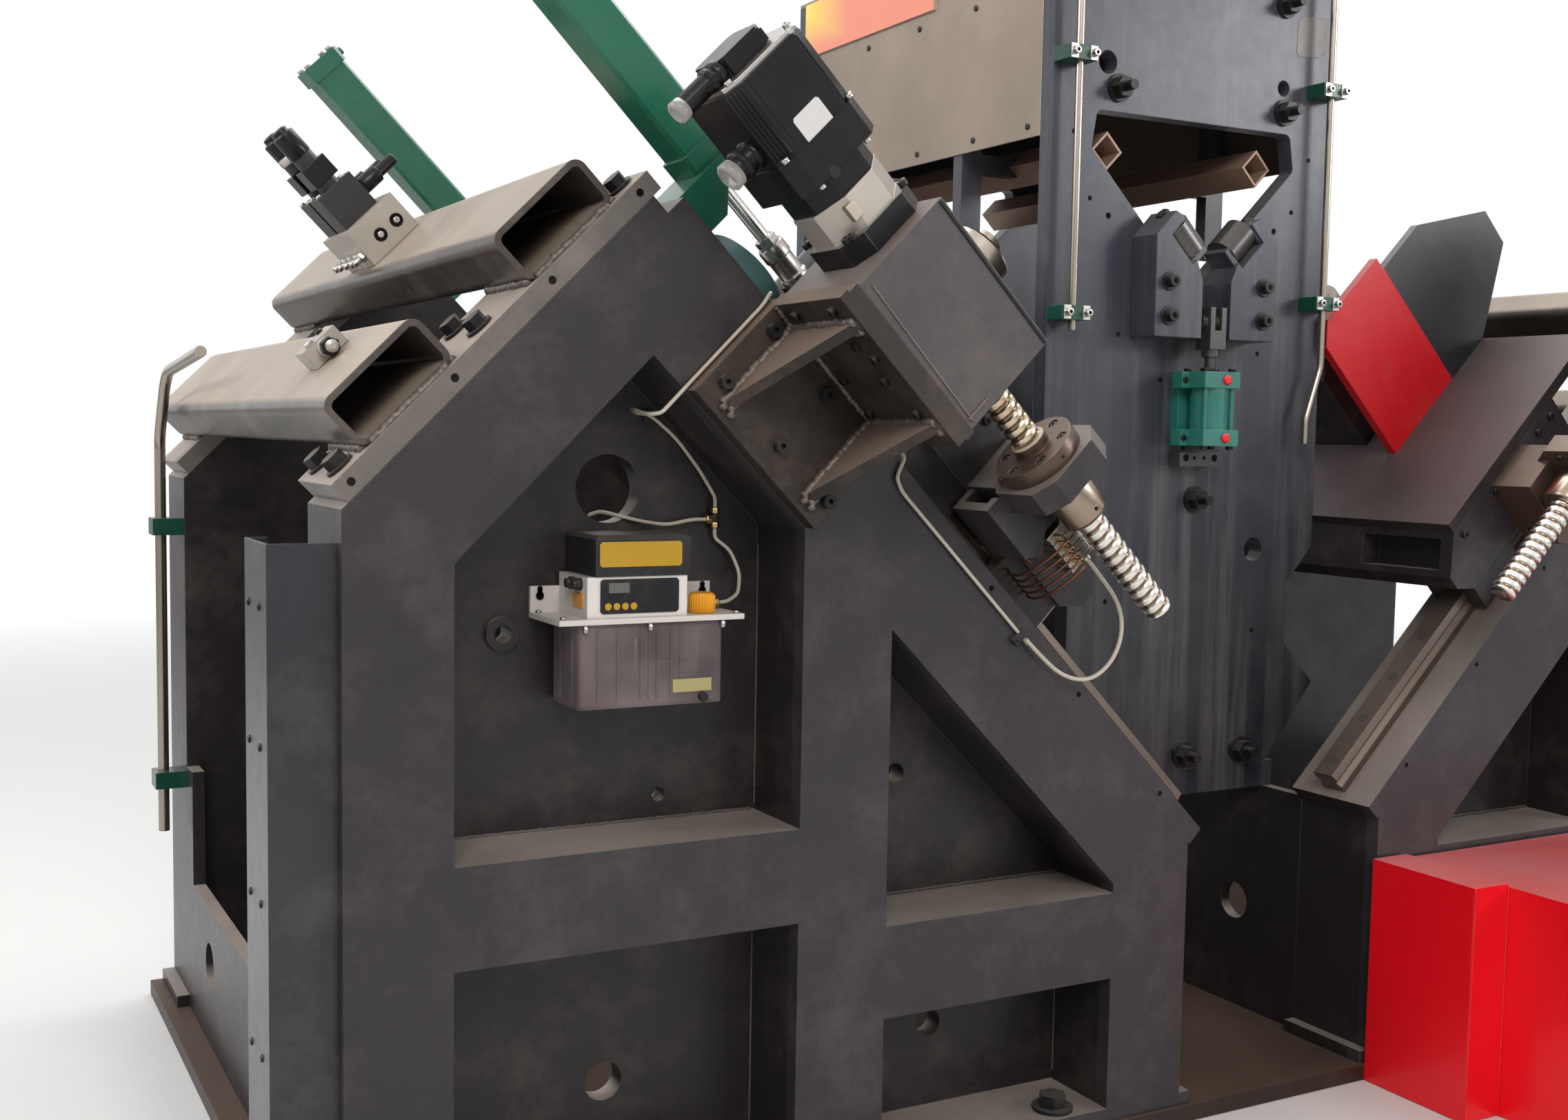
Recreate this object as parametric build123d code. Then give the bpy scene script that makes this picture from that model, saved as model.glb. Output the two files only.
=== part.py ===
from build123d import *
import os
from math import atan2, cos, degrees, radians, sin, sqrt, tan

# Angle drilling station: two mirrored 45 degree drilling units on one base plate, with the
# guide tower of the angle bar between them. Millimetres. X across, Y along the bar's feed,
# Z up. Origin: middle of the station (X), front faces of the unit frames (Y), floor (Z).

os.makedirs("parts", exist_ok=True)

ROOT2 = sqrt(2)

# Floor and unit frames
BASE_THICK = 25
BASE_FRONT = 6
BASE_MARGIN = 40
FOOT_THICK = 20
FOOT_LIP = 20
HALF_GAP = 200
UNIT_WIDTH = 1250
UNIT_DEPTH = 1250
FRAME_DEPTH = 165
FRAME_PANEL = 33
OUTER_X = HALF_GAP + UNIT_WIDTH
SIDE_WALL = 20
OUTER_WALL_TOP = 250
STOP_LENGTH = 55
STOP_HEIGHT = 192
OUTER_WALL_HOLE = (878, 157, 36)
INNER_WALL_HOLE = (316, 211, 32)

# Slope coordinates of the left unit: u runs down the right slope, v is square to it
FACE_V = 161
LEFT_FACE_U = -1684
MEMBER_V = 29
LEFT_MEMBER_U = -1548
POST_OUTER = 129
WINDOW_LEFT = 460
POST_MIDDLE = 134
WINDOW_RIGHT = 388
LEDGE_Z = 513
LOWER_WINDOW_TOP = 388
TRIANGLE_Z = 367
LOW_RIGHT_TOP = 240
ROUND_HOLE = (-1078, 949, 44)
BOSS_HOLE = (-1220, 768, 11)
BOSS_RING = (22, 8)
SMALL_HOLE = (-1003, 545, 9)
DRAIN_HOLE = (-1078, 169, 26)
RIGHT_HOLE = (-567, 167, 20)
TRIANGLE_HOLE = (-633, 543, 14)

# Beds, rails and tubes on the slopes
BED_THICK = 29
BED_U = (-1657, -439)
RAIL_U = (-1440, -455)
RAIL_WIDTH = 45
RAIL_HEIGHT = 40
RAIL_NECK = 6
PAD_THICK = 27
PAD_V = (-356, 175)
TUBE_LOWER_V = -302
TUBE_UPPER_V = -27
TUBE_WIDTH = 150
TUBE_HEIGHT = 70
TUBE_WALL = 8
TUBE_RADIUS = 16
TUBE_SETBACK = 8

# Screw drive in front of each unit
AXIS_V = 310
AXIS_Y = -90
SCREW_R = 20
SCREW_END_U = -805
JOURNAL_R = 17
RUNNING_FIT = 0.05
GAP = 0.3
BRACKET_PLATE = 25
BRACKET_U = (-1488, -1248)
BRACKET_V = (30, 195)
BRACKET_REACH = 185
STAND_THICK = 14
OUTER_PLATE = 15
GUSSET_THICK = 14
GUSSET_U = (-1452, -1290)
BOX_U = (-1480, -1250)
BOX_TOP_V = 366
BOX_WALL = 16
BEARING_R = 38
BEARING_LENGTH = 46
ADAPTER_LENGTH = 30
GEARBOX_LENGTH = 45
COUPLING_LENGTH = 32
MOTOR_FLANGE = 46
MOTOR_BODY = 102
MOTOR_FRAME = 130
MOTOR_CORNER = 20
ENCODER_LENGTH = 30
ENCODER_HALF = 35

# Carriage
CARRIAGE_U = (-1205, -830)
CARRIAGE_V = (250, 356)
CARRIAGE_FRONT = 25
CARRIAGE_NOSE = 66
CARRIAGE_TOE = 30
CARRIAGE_WALL = 36
TOP_PLATE_U = (-1345, -885)
TOP_PLATE = 20
POCKET_Y = (50, 215)
POCKET_DEPTH = 42
BLOCK_LENGTH = 112
BLOCK_WIDTH = 100
NUT_RING = (25, 13)
NUT_FLANGE = (57, 23)
NUT_BARREL_R = 33.5
NUT_U = -1120
NUT_BARREL_END = -995
HOUSING_PLATE = 37
HOUSING_SIZE = 130
HOUSING_CHAMFER = 26
SLIDE_DOWN = 160

# Drill heads on the carriages
HEAD_U = (-1264, -1064)
HEAD_Y = 400
HEAD_HALF = 80
HEAD_HEIGHT = 190
SLEEVE_R = 74
SLEEVE_HEIGHT = 50
QUILL_R = 60
QUILL_NOSE = 705
SPINDLE_R = 24
SPINDLE_NOSE = 26
DRILL_MOTOR_R = 78
DRILL_MOTOR_U = -1240
DRILL_MOTOR_SHIFT = 190
DRILL_MOTOR_HEIGHT = 230
GUARD_Y = 243
GUARD_SHEET = 3
GUARD_FOLD = 13
RED_U = (-1236, -1045)
RED_TOP_V = 664
RED_CORNER = 33
BLACK_TOP_V = 640
BLACK_KNEE_U = -1352
BLACK_U = -1500
BLACK_SIDE_V = (470, 545)

# Balance cylinders above the left peak
BALANCE_V = 302
BALANCE_Y = 137
BALANCE_TUBE = 62
BALANCE_CAP = 70
BALANCE_CAP_LENGTH = 28
BALANCE_U = (-2030, -1640)
BALANCE_ROD_R = 9
COUPLING_U = (-1500, -1434)
COUPLING_R = 17
BALANCE_BRACKET = 20
BRACKET_TOP_V = 345

# Round cover at the upper end of the left front bed
COVER_U = -1516
COVER_R = 62
COVER_RIM = 8
COVER_HEIGHT = 34
COVER_RECESS = 12
COVER_BOLT_R = 10

# Tower
TOWER_HALF = 293
TOWER_FRONT = 257
TOWER_PLATE = 30
TOWER_INSET = 179
TOWER_BACK = UNIT_DEPTH - TOWER_INSET
TOWER_TOP = 1850
TOWER_BOTTOM = 472
TOWER_FOOT_HALF = 203
TOWER_BEAM_DEPTH = 120
OPENING_TOP = 1538
SHOULDER_DROP = 60
OPENING_HALF = 215
OPENING_TOP_HALF = 205
OPENING_BOTTOM = 1263
NOTCH = ((293, 842), (236, 779), (236, 676), (306, 604))
TOWER_HOLES = ((-187, 1613, 18), (187, 1613, 13), (-177, 1375, 5), (177, 1375, 5), (157, 839, 20))
TOWER_STUDS = ((-165, 1575), (189, 1573), (186, 1750), (20, 925), (14, 497), (140, 497), (-112, 497))
SIDE_SHEET = 3
SIDE_SHEET_BOTTOM = 1494
POST_BOTTOM = 1354
SIGN_HEIGHT = 102
POST_Y = (505, 530)
GUIDE_BAR = 44
GUIDE_BAR_X = 160
GUIDE_BAR_Z = 1482
RISER_OFFSET = 34
LEFT_PIPE_X = -263
RIGHT_PIPE_X = 270
PIPE_FOOT_X = 240

# Roller brackets, rollers and clamp cylinder on the tower
PLATE_Y = 60
PLATE_INNER = 30
PLATE_OUTER = 127
PLATE_BOTTOM = 1186
PLATE_SIDE_TOP = 1345
PLATE_TIP = (90, 1384)
PLATE_INNER_TOP = 1265
ROLLER_X = 54.5
ROLLER_Z = 1344
ROLLER_R = 27.5
ROLLER_LENGTH = 55
ROLLER_PIN_R = 8
CYL_FRONT = 50
CYL_Z = (1014, 1133)
CYL_R = 30
CYL_CAP = 74
CYL_CAP_LENGTH = 26
CYL_ROD_R = 9
CYL_STROKE = 0.03
LINK_WIDTH = 33
LINK_TOP = 1236

# Lubricator on the panel of the left front frame
PUMP_BACK = FRAME_DEPTH - FRAME_PANEL
PUMP_FRONT = 30
TANK_X = (-1156, -961)
TANK_Z = (682, 787)
TANK_WALL = 3
LID_X = (-1184, -934)
LID_THICK = 7
HEAD_X = (-1146, -1012)
HEAD_SPLIT_Z = 845
HEAD_TOP_Z = 896
CAP_R = 15
CAP_POS = (-981, 52)
CAP_HEIGHT = 22

# Oil lines: from the lubricator to a tee, and on to the left carriage
LINE_R = 2.5
PUMP_LINE = [(-949, 84, 803), (-930, 84, 803), (-908, 94, 812), (-898, 110, 838), (-908, 120, 868), (-930, 122, 884),
             (-930, 122, 900)]
REAR_LINE = [(-941, 122, 909), (-962, 122, 909), (-1000, 123, 902), (-1035, 122, 907), (-1064, 130, 914), (-1080, 152, 919),
             (-1086, 184, 912), (-1086, 184, 882)]
RISE_LINE = [(-930, 122, 923), (-930, 122, 938), (-951, 126, 973), (-985, 127, 1015), (-1022, 126, 1044), (-1062, 100, 1052),
             (-1072, 60, 1046), (-1075, 8, 1044)]
BED_LINE = [(-1493, -5, -14), (-1493, -5, 178), (-1497, -4, 200), (-1486, 18, 199), (-1240, 20, 198),
            (-1222, 12, 200), (-1210, -5, 199), (-1200, -5, 170), (-1180, -5, 163), (-882, -5, 163)]
TEE = (-930, 122, 909)
HOSE_R = 3
HOSE = [(-916, -40, 297), (-878, -40, 297), (-832, -47, 290), (-793, -41, 268), (-772, -33, 230), (-777, -24, 190),
        (-812, -16, 167), (-858, -12, 163), (-894, -12, 162)]

# Red cabinets in front of the right unit
CABINET_X = 184
CABINET_SPLIT = 259
CABINET_END = 1100
CABINET_TOP = 362
CABINET_DEPTH = 200
CABINET_DEEP = 420

# Coordinate frame of the left unit's right slope
SLOPE = Plane(origin=(0, 0, 0), x_dir=(1, 0, -1), z_dir=(1, 0, 1)).location


def block(x, y, z):
    """Box from low and high limits."""
    middle = [(a[0] + a[1]) / 2 for a in (x, y, z)]
    return Pos(*middle) * Box(x[1] - x[0], y[1] - y[0], z[1] - z[0])


def prism(points, y0, y1):
    """Outline in X and Z, extruded along Y."""
    plane = Plane(origin=(0, y0, 0), x_dir=(1, 0, 0), z_dir=(0, -1, 0))
    return extrude(plane * Polygon(*points, align=None), amount=y1 - y0, dir=(0, 1, 0))


def disc_x(radius, x0, x1, y, z):
    return Pos(x0, y, z) * Rot(0, 90, 0) * Cylinder(radius, x1 - x0, align=(Align.CENTER, Align.CENTER, Align.MIN))


def disc_y(radius, y0, y1, x, z):
    return Pos(x, y0, z) * Rot(-90, 0, 0) * Cylinder(radius, y1 - y0, align=(Align.CENTER, Align.CENTER, Align.MIN))


def disc_z(radius, z0, z1, x, y):
    return Pos(x, y, z0) * Cylinder(radius, z1 - z0, align=(Align.CENTER, Align.CENTER, Align.MIN))


def hex_bolt(across, height, washer_r, washer):
    """Hexagon head on a washer, standing along +Z from its seat."""
    head = extrude(RegularPolygon(across / 2, 6, major_radius=False), amount=height)
    return disc_z(washer_r, 0, washer, 0, 0) + Pos(0, 0, washer) * head


def mirrored(shape):
    return mirror(shape, about=Plane.YZ)


def to_rear(shape):
    """The same piece on the rear frame, turned to face the other way."""
    return mirror(shape, about=Plane(origin=(0, UNIT_DEPTH / 2, 0), z_dir=(0, 1, 0)))


def solids_of(shapes):
    return [solid for shape in shapes for solid in shape.solids()]


def save(name, *shapes):
    """Write one node; several shapes stay separate solids of the node."""
    solids = solids_of(shapes)
    node = solids[0] if len(solids) == 1 else Compound(solids)
    export_step(node, f"parts/{name}.step")


def square_outline(half, corner, x, z):
    """Square with cut corners about a centre."""
    near = half - corner
    steps = ((near, half), (half, near), (half, -near), (near, -half))
    points = list(steps) + [(-a, -b) for a, b in steps]
    return [(x + a, z + b) for a, b in points]


def bar_u(outline, u0, u1):
    """Outline in y and v of a slope frame, extruded along u."""
    plane = Plane(origin=(u0, 0, 0), x_dir=(0, 1, 0), z_dir=(1, 0, 0))
    return extrude(plane * Polygon(*outline, align=None), amount=u1 - u0, dir=(1, 0, 0))


def slope_z(x, v):
    """Height of the plane v of the right slope above x."""
    return ROOT2 * v - x


def left_slope_z(x, u):
    """Height of the plane u, the left slope's normal, above x."""
    return x - ROOT2 * u


def peak(v, u):
    return ((u + v) / ROOT2, (v - u) / ROOT2)


# Base plate and frames

def base_plate():
    half = OUTER_X + BASE_MARGIN
    return block((-half, half), (-BASE_FRONT, UNIT_DEPTH + BASE_FRONT), (0, BASE_THICK))


def frame_windows():
    left = -OUTER_X + POST_OUTER
    left_end = left + WINDOW_LEFT
    right = left_end + POST_MIDDLE
    right_end = right + WINDOW_RIGHT
    floor = BASE_THICK + FOOT_THICK
    big = [(left, LEDGE_Z), (left, left_slope_z(left, LEFT_MEMBER_U)), peak(MEMBER_V, LEFT_MEMBER_U),
           (left_end, slope_z(left_end, MEMBER_V)), (left_end, LEDGE_Z)]
    triangle = [(right, TRIANGLE_Z), (right, slope_z(right, MEMBER_V)),
                (right_end, slope_z(right_end, MEMBER_V)), (right_end, TRIANGLE_Z)]
    low_left = [(left, floor), (left, LOWER_WINDOW_TOP), (left_end, LOWER_WINDOW_TOP), (left_end, floor)]
    low_right = [(right, floor), (right, LOW_RIGHT_TOP), (right_end, LOW_RIGHT_TOP), (right_end, floor)]
    return [big, triangle, low_left, low_right]


def unit_frame():
    """Welded box frame: posts and sloped members round four recessed panels."""
    x0 = -OUTER_X
    x1 = -HALF_GAP
    outline = [(x0, BASE_THICK), (x0, left_slope_z(x0, LEFT_FACE_U)), peak(FACE_V, LEFT_FACE_U),
               (x1, slope_z(x1, FACE_V)), (x1, BASE_THICK)]
    frame = prism(outline, 0, FRAME_DEPTH)
    foot = block((x0 - FOOT_LIP, x1 + FOOT_LIP), (0, FRAME_DEPTH), (BASE_THICK, BASE_THICK + FOOT_THICK))
    frame += foot
    for window in frame_windows():
        frame -= prism(window, -1, FRAME_DEPTH - FRAME_PANEL)
    return frame


def front_frame():
    frame = unit_frame()
    ring_r, ring_height = BOSS_RING
    panel = FRAME_DEPTH - FRAME_PANEL
    frame += disc_y(ring_r, panel - ring_height, panel, BOSS_HOLE[0], BOSS_HOLE[1])
    for x, z, radius in (ROUND_HOLE, BOSS_HOLE, SMALL_HOLE, DRAIN_HOLE, RIGHT_HOLE, TRIANGLE_HOLE):
        frame -= disc_y(radius, -1, FRAME_DEPTH + 1, x, z)
    return frame


def side_walls():
    depth = (FRAME_DEPTH, UNIT_DEPTH - FRAME_DEPTH)
    inner_x = (-HALF_GAP - SIDE_WALL, -HALF_GAP)
    inner_top = slope_z(-HALF_GAP, FACE_V)
    inner = block(inner_x, depth, (BASE_THICK, inner_top))
    hole_y, hole_z, hole_r = INNER_WALL_HOLE
    inner -= disc_x(hole_r, inner_x[0] - 1, inner_x[1] + 1, hole_y, hole_z)
    outer_x = (-OUTER_X, -OUTER_X + SIDE_WALL)
    outer = block(outer_x, depth, (BASE_THICK, OUTER_WALL_TOP))
    hole_y, hole_z, hole_r = OUTER_WALL_HOLE
    outer -= disc_x(hole_r, outer_x[0] - 1, outer_x[1] + 1, hole_y, hole_z)
    return [inner, outer]


def foot_bolts():
    floor = BASE_THICK + FOOT_THICK
    row_y = (FRAME_DEPTH - FRAME_PANEL) / 2 - 30
    bolt = hex_bolt(36, 18, 30, 5)
    places = [-OUTER_X + POST_OUTER + 90, -OUTER_X + POST_OUTER + WINDOW_LEFT - 90,
              -HALF_GAP - 210]
    return [Pos(x, y, floor) * bolt for x in places for y in (row_y, UNIT_DEPTH - row_y)]


# Beds, rails and cross tubes

def bed():
    strip = block(BED_U, (0, FRAME_DEPTH), (FACE_V, FACE_V + BED_THICK))
    return SLOPE * strip


def rail():
    middle = FRAME_DEPTH / 2
    half = RAIL_WIDTH / 2
    low = FACE_V + BED_THICK
    high = low + RAIL_HEIGHT
    waist = (low + high) / 2
    side = [(half, low), (half, low + 12), (half - RAIL_NECK, waist), (half, high - 12), (half - 3, high)]
    outline = [(middle + a, b) for a, b in side] + [(middle - a, b) for a, b in reversed(side)]
    return SLOPE * bar_u(outline, *RAIL_U)


def tube_pad():
    return SLOPE * block((LEFT_FACE_U - PAD_THICK, LEFT_FACE_U), (0, FRAME_DEPTH), PAD_V)


def cross_tube(v0):
    """Rectangular hollow section along Y on the left slope's pads."""
    top = LEFT_FACE_U - PAD_THICK
    plane = Plane(origin=(top - TUBE_HEIGHT / 2, TUBE_SETBACK, v0 + TUBE_WIDTH / 2),
                  x_dir=(1, 0, 0), z_dir=(0, -1, 0))
    outer = RectangleRounded(TUBE_HEIGHT, TUBE_WIDTH, TUBE_RADIUS)
    inner = RectangleRounded(TUBE_HEIGHT - 2 * TUBE_WALL, TUBE_WIDTH - 2 * TUBE_WALL, TUBE_RADIUS - TUBE_WALL)
    return SLOPE * extrude(plane * (outer - inner), amount=UNIT_DEPTH - 2 * TUBE_SETBACK, dir=(0, 1, 0))


def pad_bolts():
    """Hexagon bolts that hold the tube pads to the left slope."""
    top = LEFT_FACE_U - PAD_THICK
    bolt = hex_bolt(24, 13, 18, 4)
    seat = Pos(top, 0, 0) * Rot(0, -90, 0)
    spots = [(y, v) for y in (38, FRAME_DEPTH - 38) for v in (-328, -98, 149)]
    return [SLOPE * Pos(0, y, v) * seat * bolt for y, v in spots]


# Screw drive

def screw_bracket():
    base = block(BRACKET_U, (-BRACKET_PLATE, 0), BRACKET_V)
    reach = (-BRACKET_REACH, -BRACKET_PLATE)
    stand = block(BRACKET_U, reach, (BRACKET_V[1] - STAND_THICK, BRACKET_V[1]))
    outer = block((BRACKET_U[0] + 4, BRACKET_U[1] + 3), (-BRACKET_REACH, 0), (BRACKET_V[1], BRACKET_V[1] + OUTER_PLATE))
    bracket = base + stand + outer
    low = BRACKET_V[0] + 16
    high = BRACKET_V[1] - STAND_THICK
    for u in GUSSET_U:
        plane = Plane(origin=(u, 0, 0), x_dir=(0, 1, 0), z_dir=(1, 0, 0))
        side = Polygon((-BRACKET_PLATE, low), (-BRACKET_PLATE, high), (3 - BRACKET_REACH, high), align=None)
        bracket += extrude(plane * side, amount=GUSSET_THICK, dir=(1, 0, 0))
    return SLOPE * bracket


def bracket_bolts():
    bolt = disc_z(9, 0, 12, 0, 0) - Pos(0, 0, 5) * extrude(RegularPolygon(4, 6), amount=8)
    face = -BRACKET_PLATE
    spots = [(u, v) for u in (-1468, -1359, -1261) for v in (66, 158)]
    return [SLOPE * Pos(u, face, v) * Rot(90, 0, 0) * bolt for u, v in spots]


def bearing_box():
    low = BRACKET_V[1] + OUTER_PLATE
    depth = (-BRACKET_REACH, 0)
    box = block(BOX_U, depth, (low, BOX_TOP_V))
    room = block((BOX_U[0] + BOX_WALL, BOX_U[1] - BOX_WALL), (depth[0] + BOX_WALL, depth[1] - BOX_WALL),
                 (low + BOX_WALL, BOX_TOP_V - BOX_WALL))
    box -= room
    box -= disc_x(JOURNAL_R + 3, BOX_U[0] - 1, BOX_U[0] + BOX_WALL + 1, AXIS_Y, AXIS_V)
    box -= disc_x(SCREW_R + GAP, BOX_U[1] - BOX_WALL - 1, BOX_U[1] + 1, AXIS_Y, AXIS_V)
    return SLOPE * box


def screw_bearing():
    end = BOX_U[1] - BOX_WALL
    ring = disc_x(BEARING_R, end - BEARING_LENGTH, end, AXIS_Y, AXIS_V)
    ring -= disc_x(JOURNAL_R + RUNNING_FIT, end - BEARING_LENGTH - 1, end + 1, AXIS_Y, AXIS_V)
    return SLOPE * ring


def ball_screw():
    end = BOX_U[1] - BOX_WALL
    thread = disc_x(SCREW_R, end + GAP, SCREW_END_U, AXIS_Y, AXIS_V)
    thread = chamfer(thread.edges().filter_by(GeomType.CIRCLE).sort_by(Axis.X)[-1], 3)
    journal = disc_x(JOURNAL_R, BOX_U[0] + 12, end + GAP, AXIS_Y, AXIS_V)
    return SLOPE * (thread + journal)


def motor_levels():
    """u of each joint face from the box towards the motor's end."""
    levels = [BOX_U[0]]
    for length in (ADAPTER_LENGTH, GEARBOX_LENGTH, COUPLING_LENGTH, MOTOR_FLANGE, MOTOR_BODY, ENCODER_LENGTH):
        levels.append(levels[-1] - length)
    return levels


def gearbox():
    """Adapter flange and planetary gearbox in line with the screw."""
    box, adapter, gear = motor_levels()[:3]
    flange = bar_u(square_outline(62, 26, AXIS_Y, AXIS_V), adapter, box)
    body = bar_u(square_outline(58, 34, AXIS_Y, AXIS_V), gear, adapter)
    return SLOPE * flange, SLOPE * body


def servo_motor():
    gear, coupling, flange, body, tail = motor_levels()[2:]
    neck = bar_u(square_outline(54, 26, AXIS_Y, AXIS_V), coupling, gear)
    front = bar_u(square_outline(MOTOR_FRAME / 2 + 2, 18, AXIS_Y, AXIS_V), flange, coupling)
    shell = bar_u(square_outline(MOTOR_FRAME / 2, MOTOR_CORNER, AXIS_Y, AXIS_V), body, flange)
    cap = bar_u(square_outline(ENCODER_HALF, 8, AXIS_Y, AXIS_V), tail, body)
    return SLOPE * (neck + front + shell + cap)


def motor_sockets():
    """Power and encoder sockets on the motor's lower side."""
    side = AXIS_V - MOTOR_FRAME / 2
    flange, body = motor_levels()[4:6]
    sockets = []
    for u, size in ((flange - 26, 17), (body - 18, 13)):
        low = side - 34
        high = side if u > body else AXIS_V - ENCODER_HALF
        sockets.append(disc_z(size, low, high, u, AXIS_Y - 18))
    return [SLOPE * part for part in sockets]


# Carriage and what it carries

def carriage():
    u0, u1 = CARRIAGE_U
    v0, v1 = CARRIAGE_V
    outline = [(u0, v0), (u1 - CARRIAGE_TOE, v0), (u1, v0 + CARRIAGE_TOE),
               (u1, v1 - CARRIAGE_NOSE + 16), (TOP_PLATE_U[1], v1), (u0, v1)]
    depth = (CARRIAGE_FRONT, UNIT_DEPTH - CARRIAGE_FRONT)
    body = prism(outline, *depth)
    well = block((u0 + CARRIAGE_WALL, TOP_PLATE_U[1] - CARRIAGE_WALL),
                 (FRAME_DEPTH + CARRIAGE_WALL, UNIT_DEPTH - FRAME_DEPTH - CARRIAGE_WALL), (v0 - 1, v1 - CARRIAGE_WALL))
    body -= well
    nose_low = v1 - CARRIAGE_NOSE + 16
    angle = degrees(atan2(v1 - nose_low, TOP_PLATE_U[1] - u1))
    middle = ((u1 + TOP_PLATE_U[1]) / 2, (POCKET_Y[0] + POCKET_Y[1]) / 2, (v1 + nose_low) / 2)
    pocket = Box(52, POCKET_Y[1] - POCKET_Y[0], 2 * POCKET_DEPTH)
    body -= Pos(*middle) * Rot(0, -angle, 0) * pocket
    return SLOPE * body


def top_plate():
    depth = (CARRIAGE_FRONT, UNIT_DEPTH - CARRIAGE_FRONT)
    return SLOPE * block(TOP_PLATE_U, depth, (CARRIAGE_V[1], CARRIAGE_V[1] + TOP_PLATE))


def guide_blocks():
    middle = FRAME_DEPTH / 2
    half = RAIL_WIDTH / 2 + GAP
    low = FACE_V + BED_THICK + 8
    rail_top = FACE_V + BED_THICK + RAIL_HEIGHT + GAP
    shell = block((0, BLOCK_LENGTH), (middle - BLOCK_WIDTH / 2, middle + BLOCK_WIDTH / 2), (low, CARRIAGE_V[0]))
    shell -= block((-1, BLOCK_LENGTH + 1), (middle - half, middle + half), (low - 1, rail_top))
    first = SLOPE * Pos(CARRIAGE_U[0] + 10, 0, 0) * shell
    second = SLOPE * Pos(CARRIAGE_U[1] - CARRIAGE_TOE - BLOCK_LENGTH - 4, 0, 0) * shell
    return [first, second, to_rear(first), to_rear(second)]


def nut_housing():
    """Chamfered plate round the nut, its arm to the carriage and the rib below."""
    half = HOUSING_SIZE / 2
    plate_u = (NUT_U + NUT_FLANGE[1], NUT_U + NUT_FLANGE[1] + HOUSING_PLATE)
    plate = bar_u(square_outline(half, HOUSING_CHAMFER, AXIS_Y, AXIS_V), *plate_u)
    arm_v = (CARRIAGE_V[0] + 4, CARRIAGE_V[1] - 4)
    arm = block((plate_u[0], plate_u[1] + 60), (AXIS_Y + half - 24, CARRIAGE_FRONT), arm_v)
    rib = prism([(-1120 + 28, 240), (-1069, 278), (-1015, 279), (-984, 240), (-1001, 217), (-1092, 217)],
                AXIS_Y + 34, AXIS_Y + 48)
    web = block((-1092, -1001), (AXIS_Y + 40, CARRIAGE_FRONT), (217, 231))
    web += block((-1092, -1001), (CARRIAGE_FRONT - 14, CARRIAGE_FRONT), (217, 300))
    housing = plate + arm + rib + web
    housing -= disc_x(NUT_BARREL_R + GAP, plate_u[0] - 1, plate_u[1] + 1, AXIS_Y, AXIS_V)
    housing -= disc_x(NUT_BARREL_R + 4, plate_u[1], plate_u[1] + 120, AXIS_Y, AXIS_V)
    return SLOPE * housing


def ball_nut():
    ring_r, ring = NUT_RING
    flange_r, flange = NUT_FLANGE
    nut = disc_x(ring_r, NUT_U - ring, NUT_U, AXIS_Y, AXIS_V)
    nut += disc_x(flange_r, NUT_U, NUT_U + flange, AXIS_Y, AXIS_V)
    nut += disc_x(NUT_BARREL_R, NUT_U + flange, NUT_BARREL_END, AXIS_Y, AXIS_V)
    nut -= disc_x(SCREW_R + RUNNING_FIT, NUT_U - ring - 1, NUT_BARREL_END + 1, AXIS_Y, AXIS_V)
    for step in range(6):
        angle = radians(60 * step + 30)
        y = AXIS_Y + 44 * cos(angle)
        v = AXIS_V + 44 * sin(angle)
        nut -= disc_x(7, NUT_U - 1, NUT_U + 8, y, v)
    return SLOPE * nut


def distributor():
    """Progressive lubricant distributor on the carriage front, with the hose's socket at its lower end."""
    body = block((-992, -930), (-52, CARRIAGE_FRONT), (264, 304))
    socket = HOSE[0]
    body += disc_x(6, -930, socket[0], socket[1], socket[2])
    for step in range(5):
        u = -984 + 11.5 * step
        body += disc_z(4.5, 304, 320, u, -38)
        body += disc_y(4, -66, -52, u, 275)
    return SLOPE * body


def drill_head():
    low = CARRIAGE_V[1] + TOP_PLATE
    middle_u = (HEAD_U[0] + HEAD_U[1]) / 2
    outline = [(HEAD_U[0], low), (HEAD_U[0], low + HEAD_HEIGHT - 30), (HEAD_U[0] + 30, low + HEAD_HEIGHT),
               (HEAD_U[1] - 30, low + HEAD_HEIGHT), (HEAD_U[1], low + HEAD_HEIGHT - 30), (HEAD_U[1], low)]
    head = prism(outline, HEAD_Y - HEAD_HALF, HEAD_Y + HEAD_HALF)
    head += disc_z(SLEEVE_R, low + HEAD_HEIGHT, low + HEAD_HEIGHT + SLEEVE_HEIGHT, middle_u, HEAD_Y)
    head -= disc_z(QUILL_R + RUNNING_FIT, low + 20, low + HEAD_HEIGHT + SLEEVE_HEIGHT + 1, middle_u, HEAD_Y)
    return SLOPE * head


def quill():
    low = CARRIAGE_V[1] + TOP_PLATE + 22
    middle_u = (HEAD_U[0] + HEAD_U[1]) / 2
    sleeve = disc_z(QUILL_R, low, QUILL_NOSE, middle_u, HEAD_Y)
    sleeve = chamfer(sleeve.edges().filter_by(GeomType.CIRCLE).sort_by(Axis.Z)[-1], 6)
    sleeve -= disc_z(SPINDLE_R + RUNNING_FIT, low + 40, QUILL_NOSE + 1, middle_u, HEAD_Y)
    return SLOPE * sleeve


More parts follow.
